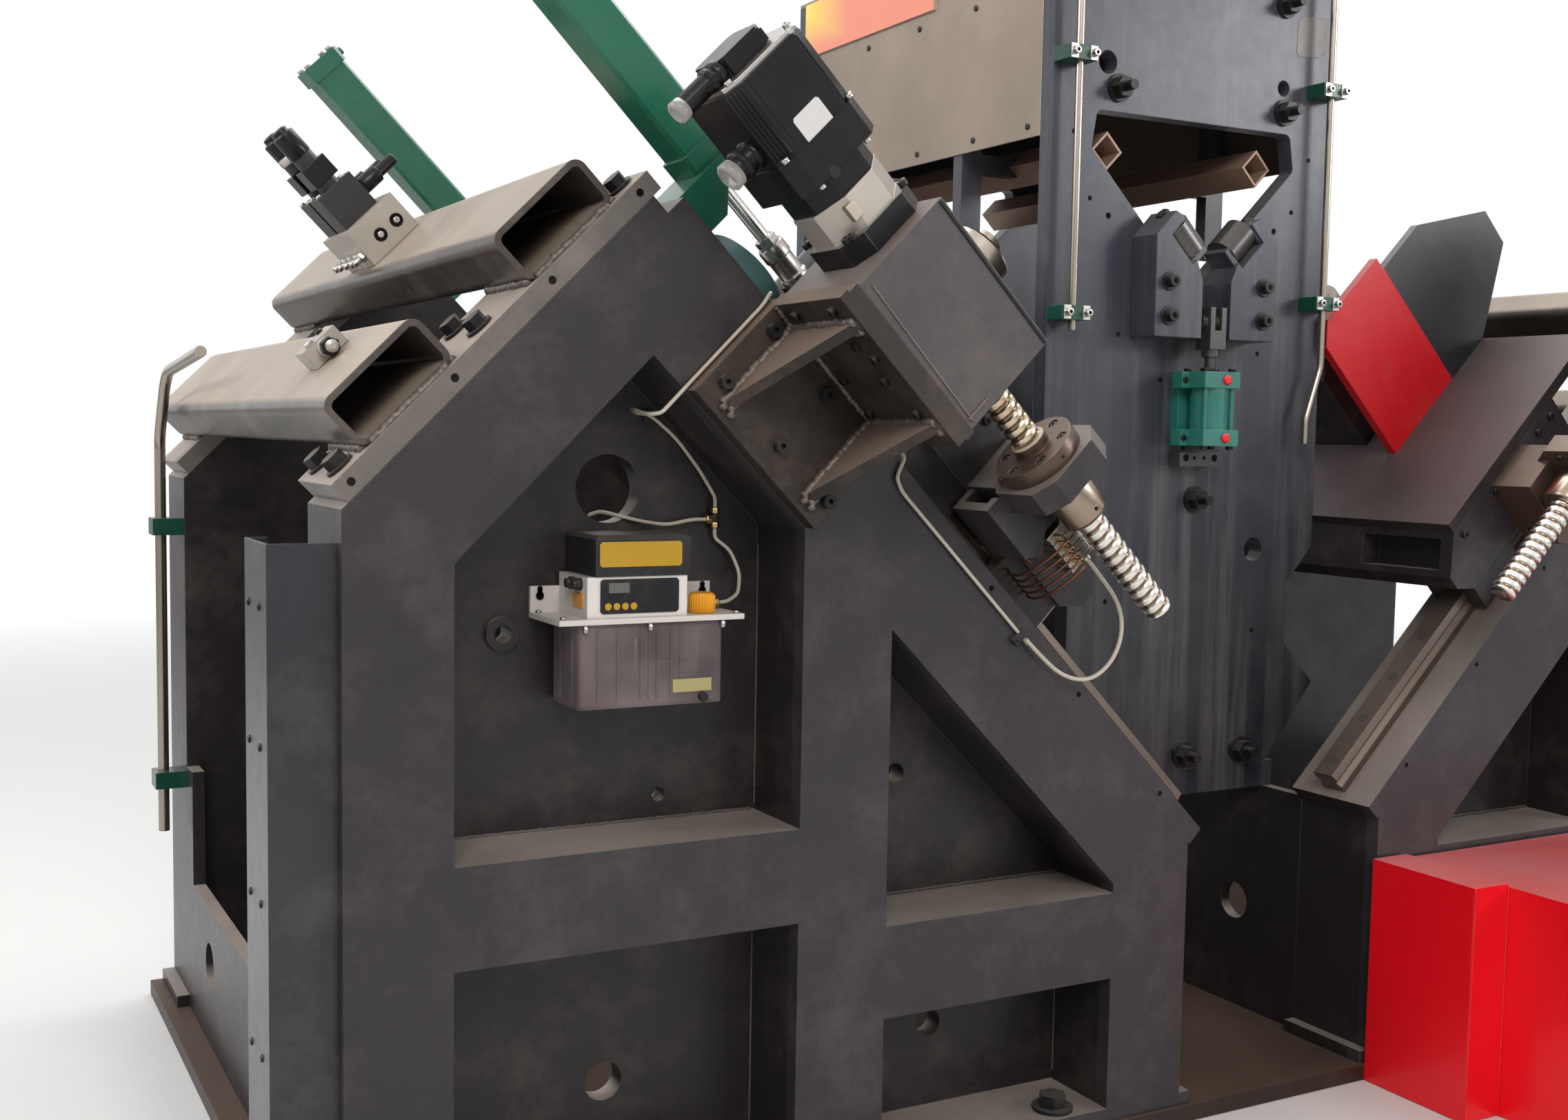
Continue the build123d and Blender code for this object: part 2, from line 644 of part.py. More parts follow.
def spindle():
    low = CARRIAGE_V[1] + TOP_PLATE + 22 + 40 + GAP
    middle_u = (HEAD_U[0] + HEAD_U[1]) / 2
    shaft = disc_z(SPINDLE_R, low, QUILL_NOSE + SPINDLE_NOSE, middle_u, HEAD_Y)
    shaft -= disc_z(11, QUILL_NOSE - 30, QUILL_NOSE + SPINDLE_NOSE + 1, middle_u, HEAD_Y)
    shaft -= block((middle_u - SPINDLE_R - 1, middle_u + SPINDLE_R + 1), (HEAD_Y - 8, HEAD_Y + 8),
                   (QUILL_NOSE + SPINDLE_NOSE - 10, QUILL_NOSE + SPINDLE_NOSE + 1))
    return SLOPE * shaft


def drill_motor():
    low = CARRIAGE_V[1] + TOP_PLATE
    y = HEAD_Y + DRILL_MOTOR_SHIFT
    foot = block((DRILL_MOTOR_U - 95, DRILL_MOTOR_U + 95), (y - 95, y + 95), (low, low + 22))
    body = disc_z(DRILL_MOTOR_R, low + 22, low + 22 + DRILL_MOTOR_HEIGHT, DRILL_MOTOR_U, y)
    cap = disc_z(DRILL_MOTOR_R + 5, low + 22 + DRILL_MOTOR_HEIGHT, low + 62 + DRILL_MOTOR_HEIGHT, DRILL_MOTOR_U, y)
    return SLOPE * (foot + body + cap)


def head_guard():
    """Folded sheet beside the right head: black part with cut corners."""
    low = CARRIAGE_V[1] + TOP_PLATE
    top = BLACK_TOP_V
    edge = RED_U[0] - GAP
    outline = [(edge, low), (edge, top), (BLACK_KNEE_U, top), (BLACK_U, BLACK_SIDE_V[1]),
               (BLACK_U, BLACK_SIDE_V[0]), (TOP_PLATE_U[0], low)]
    sheet = prism(outline, GUARD_Y - GUARD_SHEET, GUARD_Y)
    sheet += block((BLACK_KNEE_U, edge), (GUARD_Y - GUARD_SHEET, GUARD_Y + GUARD_FOLD), (top - GUARD_SHEET, top))
    return SLOPE * sheet


def red_guard():
    low = CARRIAGE_V[1] + TOP_PLATE
    front = (GUARD_Y - GUARD_SHEET, GUARD_Y)
    corner_u = RED_U[1] - RED_CORNER
    corner_v = RED_TOP_V - RED_CORNER
    outline = [(RED_U[0], low), (RED_U[0], RED_TOP_V), (corner_u, RED_TOP_V), (RED_U[1], corner_v), (RED_U[1], low)]
    sheet = prism(outline, *front)
    fold = (front[0], GUARD_Y + GUARD_FOLD)
    sheet += block((RED_U[0], corner_u), fold, (RED_TOP_V - GUARD_SHEET, RED_TOP_V))
    sheet += block((RED_U[1] - GUARD_SHEET, RED_U[1]), fold, (low, corner_v))
    return SLOPE * sheet


# Balance cylinders

def balance_cylinder():
    """Square profile barrel with end caps, open towards the rod."""
    u0, u1 = BALANCE_U
    barrel = square_outline(BALANCE_TUBE / 2, 5, BALANCE_Y, BALANCE_V)
    cap = square_outline(BALANCE_CAP / 2, 6, BALANCE_Y, BALANCE_V)
    body = bar_u(barrel, u0 + BALANCE_CAP_LENGTH, u1 - BALANCE_CAP_LENGTH)
    body += bar_u(cap, u0, u0 + BALANCE_CAP_LENGTH) + bar_u(cap, u1 - BALANCE_CAP_LENGTH, u1)
    body -= disc_x(BALANCE_ROD_R + RUNNING_FIT, u0 + 60, u1 + 1, BALANCE_Y, BALANCE_V)
    return SLOPE * body


def balance_bracket():
    """Plate across the cylinder's front cap, with a cheek that stands on the bed's end."""
    u0 = BALANCE_U[1]
    u1 = u0 + BALANCE_BRACKET
    bed_top = FACE_V + BED_THICK
    half = BALANCE_CAP / 2 + 10
    y = (BALANCE_Y - half, BALANCE_Y + half)
    plate = block((u0, u1), y, (bed_top, BRACKET_TOP_V))
    plate += block((u0, u1 + 40), (y[0], FRAME_DEPTH), (bed_top, bed_top + 18))
    cheek = [(u0, bed_top), (u0, 300), (u1 + 4, 300), (u1 + 40, 262), (u1 + 40, bed_top)]
    plate += prism(cheek, y[0], y[0] + 14)
    plate -= disc_x(COUPLING_R + 4, u0 - 1, u1 + 1, BALANCE_Y, BALANCE_V)
    return SLOPE * plate


def balance_rod():
    """Piston rod, its coupling and the bar from the coupling to the carriage."""
    start = BALANCE_U[1] - SLIDE_DOWN - 20
    rod = disc_x(BALANCE_ROD_R, start, COUPLING_U[0], BALANCE_Y, BALANCE_V)
    rod += disc_x(COUPLING_R, *COUPLING_U, BALANCE_Y, BALANCE_V)
    rod += block((COUPLING_U[1], CARRIAGE_U[0]), (BALANCE_Y - 14, BALANCE_Y + 14), (BALANCE_V - 16, BALANCE_V + 16))
    return SLOPE * rod


def bed_end_cover():
    """Round cover at the upper end of the front bed."""
    low = FACE_V + BED_THICK
    floor = low + COVER_HEIGHT - COVER_RECESS
    middle = FRAME_DEPTH / 2
    cover = disc_z(COVER_R, low, low + COVER_HEIGHT, COVER_U, middle)
    cover -= disc_z(COVER_R - COVER_RIM, floor, low + COVER_HEIGHT + 1, COVER_U, middle)
    cover += disc_z(COVER_BOLT_R, floor, floor + 8, COVER_U + 16, middle - 18)
    return SLOPE * cover


# Tower

def tower_outline():
    right = [(TOWER_HALF, TOWER_TOP)] + list(NOTCH) + [(TOWER_FOOT_HALF, TOWER_BOTTOM)]
    left = [(-x, z) for x, z in reversed(right)]
    return right + left


def tower_plate(y0):
    plate = prism(tower_outline(), y0, y0 + TOWER_PLATE)
    right = [(OPENING_TOP_HALF, OPENING_TOP), (OPENING_HALF, OPENING_TOP - SHOULDER_DROP), (0, OPENING_BOTTOM)]
    opening = prism(right + [(-x, z) for x, z in reversed(right[:-1])], y0 - 1, y0 + TOWER_PLATE + 1)
    opening = fillet(opening.edges().filter_by(Axis.Y), 12)
    return plate - opening


def front_tower_plate():
    plate = tower_plate(TOWER_FRONT)
    for x, z, radius in TOWER_HOLES:
        plate -= disc_y(radius, TOWER_FRONT - 1, TOWER_FRONT + TOWER_PLATE + 1, x, z)
    return plate


def tower_beam():
    """Cross beam that carries the tower on the inner walls of the units."""
    low = slope_z(-HALF_GAP, FACE_V)
    half = HALF_GAP + SIDE_WALL
    front = block((-half, half), (TOWER_FRONT, TOWER_FRONT + TOWER_BEAM_DEPTH), (low, TOWER_BOTTOM))
    back = block((-half, half), (TOWER_BACK - TOWER_BEAM_DEPTH, TOWER_BACK), (low, TOWER_BOTTOM))
    return [front, back]


def tower_sides():
    behind = TOWER_FRONT + TOWER_PLATE
    before = TOWER_BACK - TOWER_PLATE
    left_x = (-TOWER_HALF, -TOWER_HALF + SIDE_SHEET)
    right_x = (TOWER_HALF - SIDE_SHEET, TOWER_HALF)
    left = block(left_x, (behind, before), (SIDE_SHEET_BOTTOM, TOWER_TOP))
    right = block(right_x, (behind, before), (SIDE_SHEET_BOTTOM, TOWER_TOP))
    return [left, right]


def guide_bar(section, y0, y1):
    """Bar on edge beside the angle bar's left flange."""
    plane = Plane(origin=(-GUIDE_BAR_X, y0, GUIDE_BAR_Z), x_dir=(1, 0, -1), z_dir=(0, -1, 0))
    return extrude(plane * section, amount=y1 - y0, dir=(0, 1, 0))


def guide_bars():
    """Square tubes that guide the angle bar inside the tower."""
    section = Rectangle(GUIDE_BAR, GUIDE_BAR) - Rectangle(GUIDE_BAR - 8, GUIDE_BAR - 8)
    bar = guide_bar(section, TOWER_FRONT + TOWER_PLATE, TOWER_BACK - TOWER_PLATE)
    return [bar, mirrored(bar)]


def tower_posts():
    """Posts inside the side sheets, each with an arm that carries a guide bar."""
    post_x = (-TOWER_HALF + SIDE_SHEET, -TOWER_HALF + SIDE_SHEET + 40)
    post = block(post_x, POST_Y, (POST_BOTTOM, TOWER_TOP))
    post += block((post_x[0], -GUIDE_BAR_X), POST_Y, (GUIDE_BAR_Z - 16, GUIDE_BAR_Z + 16))
    post -= guide_bar(Rectangle(GUIDE_BAR, GUIDE_BAR), POST_Y[0] - 1, POST_Y[1] + 1)
    return [post, mirrored(post)]


def tower_top():
    half = TOWER_HALF
    return block((-half, half), (TOWER_FRONT, TOWER_BACK), (TOWER_TOP, TOWER_TOP + 6))


def sign_board():
    x1 = -TOWER_HALF
    return block((x1 - 4, x1), (590, TOWER_BACK - TOWER_PLATE), (TOWER_TOP - SIGN_HEIGHT, TOWER_TOP))


def studs():
    bolt = hex_bolt(30, 16, 22, 5) + disc_z(8, 0, 40, 0, 0)
    return [Pos(x, TOWER_FRONT, z) * Rot(90, 0, 0) * bolt for x, z in TOWER_STUDS]


def roller_bracket():
    """Thick plate whose slanted inner edge carries a roller."""
    inner_foot = PLATE_INNER_TOP + (ROLLER_X - PLATE_INNER) - 12
    outline = [(PLATE_INNER, PLATE_BOTTOM), (PLATE_OUTER, PLATE_BOTTOM), (PLATE_OUTER, PLATE_SIDE_TOP),
               PLATE_TIP, (PLATE_TIP[0] - 18, PLATE_TIP[1] - 8), (PLATE_INNER, inner_foot)]
    front = TOWER_FRONT - PLATE_Y
    plate = prism(outline, front, TOWER_FRONT)
    angle = 45
    slot = Pos(ROLLER_X, TOWER_FRONT - PLATE_Y / 2, ROLLER_Z) * Rot(0, angle, 0)
    slot = slot * Box(ROLLER_LENGTH + 2, PLATE_Y + 2, 2 * ROLLER_R + 8)
    plate -= slot
    for z in (1219, 1273):
        plate -= disc_y(14, front - 1, front + 16, PLATE_OUTER - 27, z)
        plate += disc_y(9, front + 4, front + 16, PLATE_OUTER - 27, z)
    return plate


def roller_carrier():
    """Fork and pin of the right roller, seen from the front."""
    half = ROLLER_LENGTH / 2
    cheek = 10
    front = TOWER_FRONT - PLATE_Y
    shape = None
    for sign in (-1, 1):
        middle = sign * (half + GAP + cheek / 2)
        part = Pos(0, 0, -10) * Pos(middle, 0, 0) * Box(cheek, PLATE_Y - 10, 46)
        shape = part if shape is None else shape + part
    shape += Pos(0, 0, -ROLLER_R - 10) * Box(ROLLER_LENGTH + 2 * (cheek + GAP), PLATE_Y - 10, 14)
    shape += Rot(0, 90, 0) * Cylinder(ROLLER_PIN_R, ROLLER_LENGTH + 2 * cheek)
    place = Pos(ROLLER_X, front + PLATE_Y / 2, ROLLER_Z) * Rot(0, -45, 0)
    return place * shape


def roller():
    body = Cylinder(ROLLER_R, ROLLER_LENGTH) - Cylinder(ROLLER_PIN_R + RUNNING_FIT, ROLLER_LENGTH + 2)
    front = TOWER_FRONT - PLATE_Y
    return Pos(ROLLER_X, front + PLATE_Y / 2, ROLLER_Z) * Rot(0, 45, 0) * body


def clamp_cylinder():
    y = TOWER_FRONT - CYL_FRONT
    half = CYL_CAP / 2
    z0, z1 = CYL_Z
    body = disc_z(CYL_R, z0, z1, 0, y)
    for low in (z0, z1 - CYL_CAP_LENGTH):
        body += block((-half, half), (y - half + 6, y + half - 6), (low, low + CYL_CAP_LENGTH))
        body += block((-half - 13, half + 13), (y + 8, y + half - 6), (low, low + CYL_CAP_LENGTH))
    body += block((-half, half), (y + half - 6, TOWER_FRONT), (z0, z1))
    for a in (-half + 9, half - 9):
        body += disc_z(4, z0, z1, a, y - half + 15)
    body -= disc_z(CYL_ROD_R + RUNNING_FIT, z0 + 20, z1 + 1, 0, y)
    return body


def clamp_rod():
    y = TOWER_FRONT - CYL_FRONT
    z1 = CYL_Z[1]
    rod = disc_z(CYL_ROD_R, z1 - CYL_STROKE * 1000 - 25, z1 + 36, 0, y)
    rod += disc_z(14, z1 + 24, z1 + 36, 0, y)
    return rod


def clamp_link():
    y = TOWER_FRONT - CYL_FRONT
    half = LINK_WIDTH / 2
    low = CYL_Z[1] + 36
    link = block((-half, half), (y - 17, y + 17), (low, LINK_TOP))
    link -= block((-7, 7), (y - 18, y + 18), (low + 30, LINK_TOP + 1))
    link += disc_x(9, -half - 6, half + 6, y, LINK_TOP - 22)
    return link


def port_block():
    return block((-37, 50), (TOWER_FRONT - 28, TOWER_FRONT), (980, 1003))


def pipe_path(points, radius_list, pipe_r):
    """Round pipe along straight runs joined by arcs."""
    path = FilletPolyline(*points, radius=radius_list)
    start = Plane(origin=path @ 0, z_dir=path % 0)
    return sweep(start * Circle(pipe_r), path=path)


def tower_pipes():
    y = TOWER_FRONT - 26
    left = disc_z(6, 1190, TOWER_TOP - 20, LEFT_PIPE_X, y)
    lower = [(RIGHT_PIPE_X, y, TOWER_TOP - 20), (RIGHT_PIPE_X, y, 1150), (PIPE_FOOT_X, y, 1060), (PIPE_FOOT_X, y, 1020)]
    right = pipe_path(lower, [60, 40], 6)
    return [left, right]


def pipe_clamps():
    y = TOWER_FRONT - 26
    spots = ((LEFT_PIPE_X, 1612), (LEFT_PIPE_X, 1217), (RIGHT_PIPE_X, 1612), (RIGHT_PIPE_X, 1257))
    clamps = []
    for x, z in spots:
        body = block((x - 30, x + 23), (y - 14, TOWER_FRONT), (z - 11, z + 11))
        body -= disc_z(6 + GAP, z - 12, z + 12, x, y)
        clamps.append(body)
    return clamps


# Lubricator

def pump_tank():
    depth = (PUMP_FRONT, PUMP_BACK - 8)
    tank = block(TANK_X, depth, TANK_Z)
    tank = fillet(tank.edges().filter_by(Axis.Z), 8)
    inside = block((TANK_X[0] + TANK_WALL, TANK_X[1] - TANK_WALL), (depth[0] + TANK_WALL, depth[1] - TANK_WALL),
                   (TANK_Z[0] + TANK_WALL, TANK_Z[1] + 1))
    return tank - inside


def pump_lid():
    low = TANK_Z[1]
    lid = block(LID_X, (PUMP_FRONT - 6, PUMP_BACK), (low, low + LID_THICK))
    ears = block((LID_X[0], LID_X[1]), (PUMP_BACK - 6, PUMP_BACK), (low, low + 40))
    lid += ears
    for x in (LID_X[0] + 12, LID_X[1] - 12):
        lid -= disc_y(4, PUMP_BACK - 7, PUMP_BACK + 1, x, low + 28)
    lid += disc_z(9, low + LID_THICK, low + LID_THICK + 8, *CAP_POS)
    outlet = PUMP_LINE[0]
    lid += block((outlet[0] - 12, outlet[0]), (outlet[1] - 6, outlet[1] + 6), (low + LID_THICK, outlet[2] + 6))
    return lid


def pump_head():
    low = TANK_Z[1] + LID_THICK
    depth = (PUMP_FRONT, PUMP_BACK - 6)
    lower = block(HEAD_X, depth, (low, HEAD_SPLIT_Z))
    upper = block((HEAD_X[0] + 10, HEAD_X[1] + 4), (PUMP_FRONT - 2, depth[1]), (HEAD_SPLIT_Z, HEAD_TOP_Z))
    upper = chamfer(upper.edges().group_by(Axis.Z)[-1], 5)
    return lower + upper


def pump_cap():
    low = TANK_Z[1] + LID_THICK
    cap = disc_z(CAP_R, low, low + CAP_HEIGHT, *CAP_POS)
    cap -= disc_z(9 + GAP, low - 1, low + 8 + GAP, *CAP_POS)
    cap += block((CAP_POS[0] - 3, CAP_POS[0] + 3), (CAP_POS[1] - 12, CAP_POS[1] + 12),
                 (low + CAP_HEIGHT, low + CAP_HEIGHT + 7))
    return cap


# Other pieces on the frames

def cover_channel():
    """Sheet channel on the front left edge: open at the top and at the back."""
    x1 = -OUTER_X
    x0 = x1 - 78
    front = 19
    sheet = 3
    z = (BASE_THICK + FOOT_THICK, 893)
    channel = block((x0, x1), (front, front + sheet), z)
    channel += block((x0, x0 + sheet), (front, 141), z)
    channel += block((x0, x0 + 23 + sheet), (141 - sheet, 141), z)
    return channel


def stop_block():
    """Upright block on the outer wall beside the rear frame."""
    inner = UNIT_DEPTH - FRAME_DEPTH
    return block((-OUTER_X, -OUTER_X + SIDE_WALL), (inner - STOP_LENGTH, inner),
                 (OUTER_WALL_TOP, OUTER_WALL_TOP + STOP_HEIGHT))


def valve_manifold():
    """Valve block on the upper cross tube."""
    top = LEFT_FACE_U - PAD_THICK - TUBE_HEIGHT
    low_v = TUBE_UPPER_V + 20
    body = block((top - 60, top), (560, 700), (low_v, low_v + 90))
    body += block((top - 118, top - 60), (575, 625), (low_v + 8, low_v + 70))
    body += block((top - 118, top - 60), (635, 685), (low_v + 8, low_v + 70))
    for y in (600, 660):
        body += disc_x(16, top - 175, top - 118, y, low_v + 40)
    for y in (595, 660):
        body -= disc_z(9, low_v + 80, low_v + 91, top - 30, y)
    return SLOPE * body


def junction_block():
    """Small port block on the lower cross tube."""
    top = LEFT_FACE_U - PAD_THICK - TUBE_HEIGHT
    body = block((top - 26, top), (205, 250), (-238, -186))
    body += disc_y(12, 190, 205, top - 13, -211)
    return SLOPE * body


def riser_pipe():
    """Hydraulic pipe that runs down beside the left unit."""
    x = -OUTER_X - RISER_OFFSET
    points = [(x, 700, 1128), (x, 1030, 1105), (x, 1110, 1000), (x, 1110, 330)]
    return pipe_path(points, [90, 60], 9)


def riser_clamps():
    clamps = []
    x = -OUTER_X - RISER_OFFSET
    for z in (850, 420):
        body = block((x - 16, -OUTER_X), (1085, 1135), (z - 14, z + 14))
        body -= disc_z(9 + GAP, z - 15, z + 15, x, 1110)
        clamps.append(body)
    return clamps


# Oil lines

def smooth_radii(points):
    """Largest tangent arc that each corner of a free hose leaves room for."""
    radii = []
    for before, corner, after in zip(points, points[1:], points[2:]):
        a = Vector(*corner) - Vector(*before)
        b = Vector(*after) - Vector(*corner)
        radii.append(0.45 * min(a.length, b.length) / tan(radians(a.get_angle(b)) / 2))
    return radii


def slope_points(points):
    """Points given as u, y, v of the left unit's slope, in X, Y, Z."""
    return [((u + v) / ROOT2, y, (v - u) / ROOT2) for u, y, v in points]


def held_line(points):
    return pipe_path(points, [0.8 * r for r in smooth_radii(points)], LINE_R)


def oil_lines():
    """Steel lines clipped to the frame."""
    rise = RISE_LINE + slope_points(BED_LINE)
    return [held_line(PUMP_LINE), held_line(REAR_LINE), held_line(rise)]


def oil_fittings():
    """Tee, outlet, wall fitting and clips of the oil lines."""
    x, y, z = TEE
    tee = disc_z(5, z - 9, z + 14, x, y) + disc_x(5, x - 11, x, y, z) + disc_y(5, y, PUMP_BACK, x, z)
    end = REAR_LINE[-1]
    elbow = disc_z(6, end[2] - 34, end[2], end[0], end[1])
    elbow += disc_y(5, FRAME_DEPTH, end[1], end[0], end[2] - 26)
    corner = block((-1030, -1014), (129, PUMP_BACK), (1036, 1052))
    clip = block((-906, -894), (-8, 0), (148, 169)) - disc_x(LINE_R + GAP, -907, -893, -5, 163)
    return [tee, elbow, corner, SLOPE * clip]


def grease_hose():
    """White hose that hangs in a loop from the clip to the distributor."""
    route = slope_points(HOSE)
    radii = smooth_radii(route)
    print("hose radii", [round(r) for r in radii])
    return pipe_path(route, radii, HOSE_R)


# Red cabinets in front of the right unit

def cabinet(x, y, top):
    """Folded sheet cabinet, open below and at the back."""
    sheet = 3
    shell = block(x, y, (0, top))
    shell -= block((x[0] + sheet, x[1] - sheet), (y[0] + sheet, y[1] + 1), (-1, top - sheet))
    return shell


def red_cabinets():
    back = -BASE_FRONT - GAP
    near = cabinet((CABINET_X, CABINET_SPLIT), (-CABINET_DEPTH, back), CABINET_TOP)
    far = cabinet((CABINET_SPLIT + GAP, CABINET_END), (-CABINET_DEEP, back), CABINET_TOP - 6)
    return [near, far]


# Write the nodes

def both(parts):
    """The left unit's pieces and their mirror images on the right unit."""
    return list(parts) + [mirrored(part) for part in parts]


def front_and_rear(part):
    return [part, to_rear(part)]


save("base_plate", base_plate())
save("left_front_frame", front_frame())
save("right_front_frame", mirrored(unit_frame()))
save("rear_frames", *both([to_rear(unit_frame())]))
save("side_walls", *both(side_walls()), stop_block())
save("frame_bolts", *both(foot_bolts() + pad_bolts() + bracket_bolts()), *studs())
save("guide_beds", *both(front_and_rear(bed())))
save("guide_rails", *both(front_and_rear(rail())))
save("tube_pads", *both(front_and_rear(tube_pad())))
save("cross_tubes", *both([cross_tube(TUBE_LOWER_V), cross_tube(TUBE_UPPER_V)]))
save("gearboxes", *both(gearbox()))
save("screw_bearings", *both([screw_bearing()]))
save("balance_cylinders", *front_and_rear(balance_cylinder()), *front_and_rear(balance_bracket()))
save("bed_end_cover", bed_end_cover())
save("cover_channel", cover_channel())
save("valve_blocks", valve_manifold(), junction_block(), *oil_fittings())
save("oil_lines", *oil_lines())
save("grease_hose", grease_hose())
save("pipes", *tower_pipes(), riser_pipe())
save("pipe_clamps", *pipe_clamps(), *riser_clamps())
save("red_cabinets", *red_cabinets())

for side, place in (("left", lambda part: part), ("right", mirrored)):
    save(side + "_screw_bracket", place(screw_bracket()))
    save(side + "_bearing_box", place(bearing_box()))
    save(side + "_servo_motor", *[place(part) for part in [servo_motor(), *motor_sockets()]])
    save(side + "_ball_screw", place(ball_screw()))
    save(side + "_carriage", *[place(part) for part in [carriage(), *guide_blocks()]])
    save(side + "_top_plate", place(top_plate()))
    save(side + "_drill_head", place(drill_head()))
    save(side + "_drill_motor", place(drill_motor()))
    save(side + "_quill", place(quill()))
    save(side + "_spindle", place(spindle()))

save("left_nut_housing", nut_housing())
save("left_ball_nut", ball_nut())
save("right_nut_housing", mirrored(nut_housing()), mirrored(ball_nut()))
save("left_distributor", distributor())
save("left_balance_rods", *front_and_rear(balance_rod()))
save("right_guards", mirrored(head_guard()), mirrored(red_guard()))

save("tower_plate", front_tower_plate())
save("tower_frame", tower_plate(TOWER_BACK - TOWER_PLATE), *tower_beam(), *tower_posts())
save("tower_sheets", *tower_sides(), tower_top(), sign_board())
save("guide_bars", *guide_bars())
save("roller_brackets", *both([roller_bracket(), roller_carrier()]))
save("left_roller", mirrored(roller()))
save("right_roller", roller())
save("clamp_cylinder", clamp_cylinder(), port_block())
save("clamp_rod", clamp_rod(), clamp_link())

save("pump_tank", pump_tank())
save("pump_lid", pump_lid())
save("pump_head", pump_head())
save("pump_cap", pump_cap())
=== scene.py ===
import bpy
import bmesh
from math import cos, pi, radians, sin, sqrt
from mathutils import Matrix, Vector, noise


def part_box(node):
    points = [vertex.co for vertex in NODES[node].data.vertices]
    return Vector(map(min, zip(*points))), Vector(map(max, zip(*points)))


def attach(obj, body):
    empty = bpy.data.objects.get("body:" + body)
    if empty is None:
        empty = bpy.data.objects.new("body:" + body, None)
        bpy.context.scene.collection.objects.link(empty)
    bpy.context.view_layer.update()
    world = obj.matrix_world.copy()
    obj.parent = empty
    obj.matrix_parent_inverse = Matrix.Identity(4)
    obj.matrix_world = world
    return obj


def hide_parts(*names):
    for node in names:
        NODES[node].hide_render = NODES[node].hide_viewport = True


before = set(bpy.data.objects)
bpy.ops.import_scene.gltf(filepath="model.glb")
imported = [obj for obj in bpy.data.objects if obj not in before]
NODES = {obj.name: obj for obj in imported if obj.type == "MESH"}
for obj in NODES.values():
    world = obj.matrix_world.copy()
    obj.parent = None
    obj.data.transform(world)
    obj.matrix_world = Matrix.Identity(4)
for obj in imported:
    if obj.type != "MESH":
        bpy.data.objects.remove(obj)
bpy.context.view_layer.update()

# Everything below is in millimetres: X, Y, Z of the row frame, or u, y, v of a unit's right slope,
# where u runs down the slope and v stands square to it. The right unit is the mirror of the left one.

ROOT2 = sqrt(2)
X, Y, Z = 0, 1, 2
NEG_X, PLUS_X = (-1, 0, 0), (1, 0, 0)
NEG_Y, PLUS_Y = (0, -1, 0), (0, 1, 0)
NEG_Z, PLUS_Z = (0, 0, -1), (0, 0, 1)


def lowest(name, axis):
    """Lowest place of a node along an axis, at rest."""
    return round(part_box(name)[0][axis] * 1000, 2)


def highest(name, axis):
    """Highest place of a node along an axis, at rest."""
    return round(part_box(name)[1][axis] * 1000, 2)


# Sizes read from the frame

UNIT_DEPTH = highest("rear_frames", Y)
TOWER_FRONT = lowest("tower_plate", Y)
TOWER_TOP = highest("tower_plate", Z)
TOWER_SIDE = highest("tower_sheets", X)
SIGN_SIDE = lowest("tower_sheets", X)
SHEET_LOW = lowest("tower_sheets", Z)
BRACKET_FRONT = lowest("roller_brackets", Y)
CYLINDER_FRONT = lowest("clamp_cylinder", Y)
CHANNEL_SIDE = lowest("cover_channel", X)
TANK_LEFT, TANK_RIGHT = lowest("pump_tank", X), highest("pump_tank", X)
TANK_FRONT, TANK_LOW, TANK_HIGH = lowest("pump_tank", Y), lowest("pump_tank", Z), highest("pump_tank", Z)
HEAD_LEFT, HEAD_FRONT, HEAD_LOW = (lowest("pump_head", axis) for axis in (X, Y, Z))
LID_LEFT, LID_RIGHT = lowest("pump_lid", X), highest("pump_lid", X)
CABINET_LEFT, CABINET_FRONT = lowest("red_cabinets", X), lowest("red_cabinets", Y)
CABINET_RIGHT, CABINET_TOP = highest("red_cabinets", X), highest("red_cabinets", Z)

# Sizes that both units share, in u, y, v

AXIS_Y, AXIS_V = -90, 310
SCREW_RADIUS = 20
SCREW_START, SCREW_END = -1265.7, -805
SCREW_LEAD = 16
BALANCE_Y, BALANCE_V = 137, 302
TUBE_LOW_V = (-302, -27)
TUBE_WIDTH = 150


def xyz(x, y, z):
    return Vector((x, y, z)) / 1000


def left(u, y, v):
    return Vector(((u + v) / ROOT2, y, (v - u) / ROOT2)) / 1000


def right(u, y, v):
    return Vector((-(u + v) / ROOT2, y, (v - u) / ROOT2)) / 1000


def rear_of(place):
    """The same unit's place, seen from the rear frame."""
    return lambda u, y, v: place(u, UNIT_DEPTH - y, v)


UNITS = (("left", left), ("right", right))


# Camera

LENS = 38.35
SENSOR = 36
CAMERA_PLACE = (-1.9, -1.859, 1.025)
CAMERA_RIGHT = Vector((0.87939, -0.47581, 0.01653))
CAMERA_UP = Vector((0.02183, 0.07498, 0.99694))
CAMERA_FORWARD = Vector((0.47560, 0.87635, -0.07632))


def add_camera():
    data = bpy.data.cameras.new("camera")
    data.sensor_width = SENSOR
    data.sensor_fit = "HORIZONTAL"
    data.lens = LENS
    camera = bpy.data.objects.new("camera", data)
    bpy.context.scene.collection.objects.link(camera)
    turn = Matrix((CAMERA_RIGHT, CAMERA_UP, -CAMERA_FORWARD)).transposed().to_4x4()
    camera.matrix_world = Matrix.Translation(CAMERA_PLACE) @ turn
    bpy.context.scene.camera = camera


add_camera()


# Nodes of a material

def node(tree, kind, inputs=None, **settings):
    made = tree.nodes.new(kind)
    for key, value in settings.items():
        setattr(made, key, value)
    for key, value in (inputs or {}).items():
        if isinstance(value, bpy.types.NodeSocket):
            tree.links.new(value, made.inputs[key])
        else:
            made.inputs[key].default_value = value
    return made


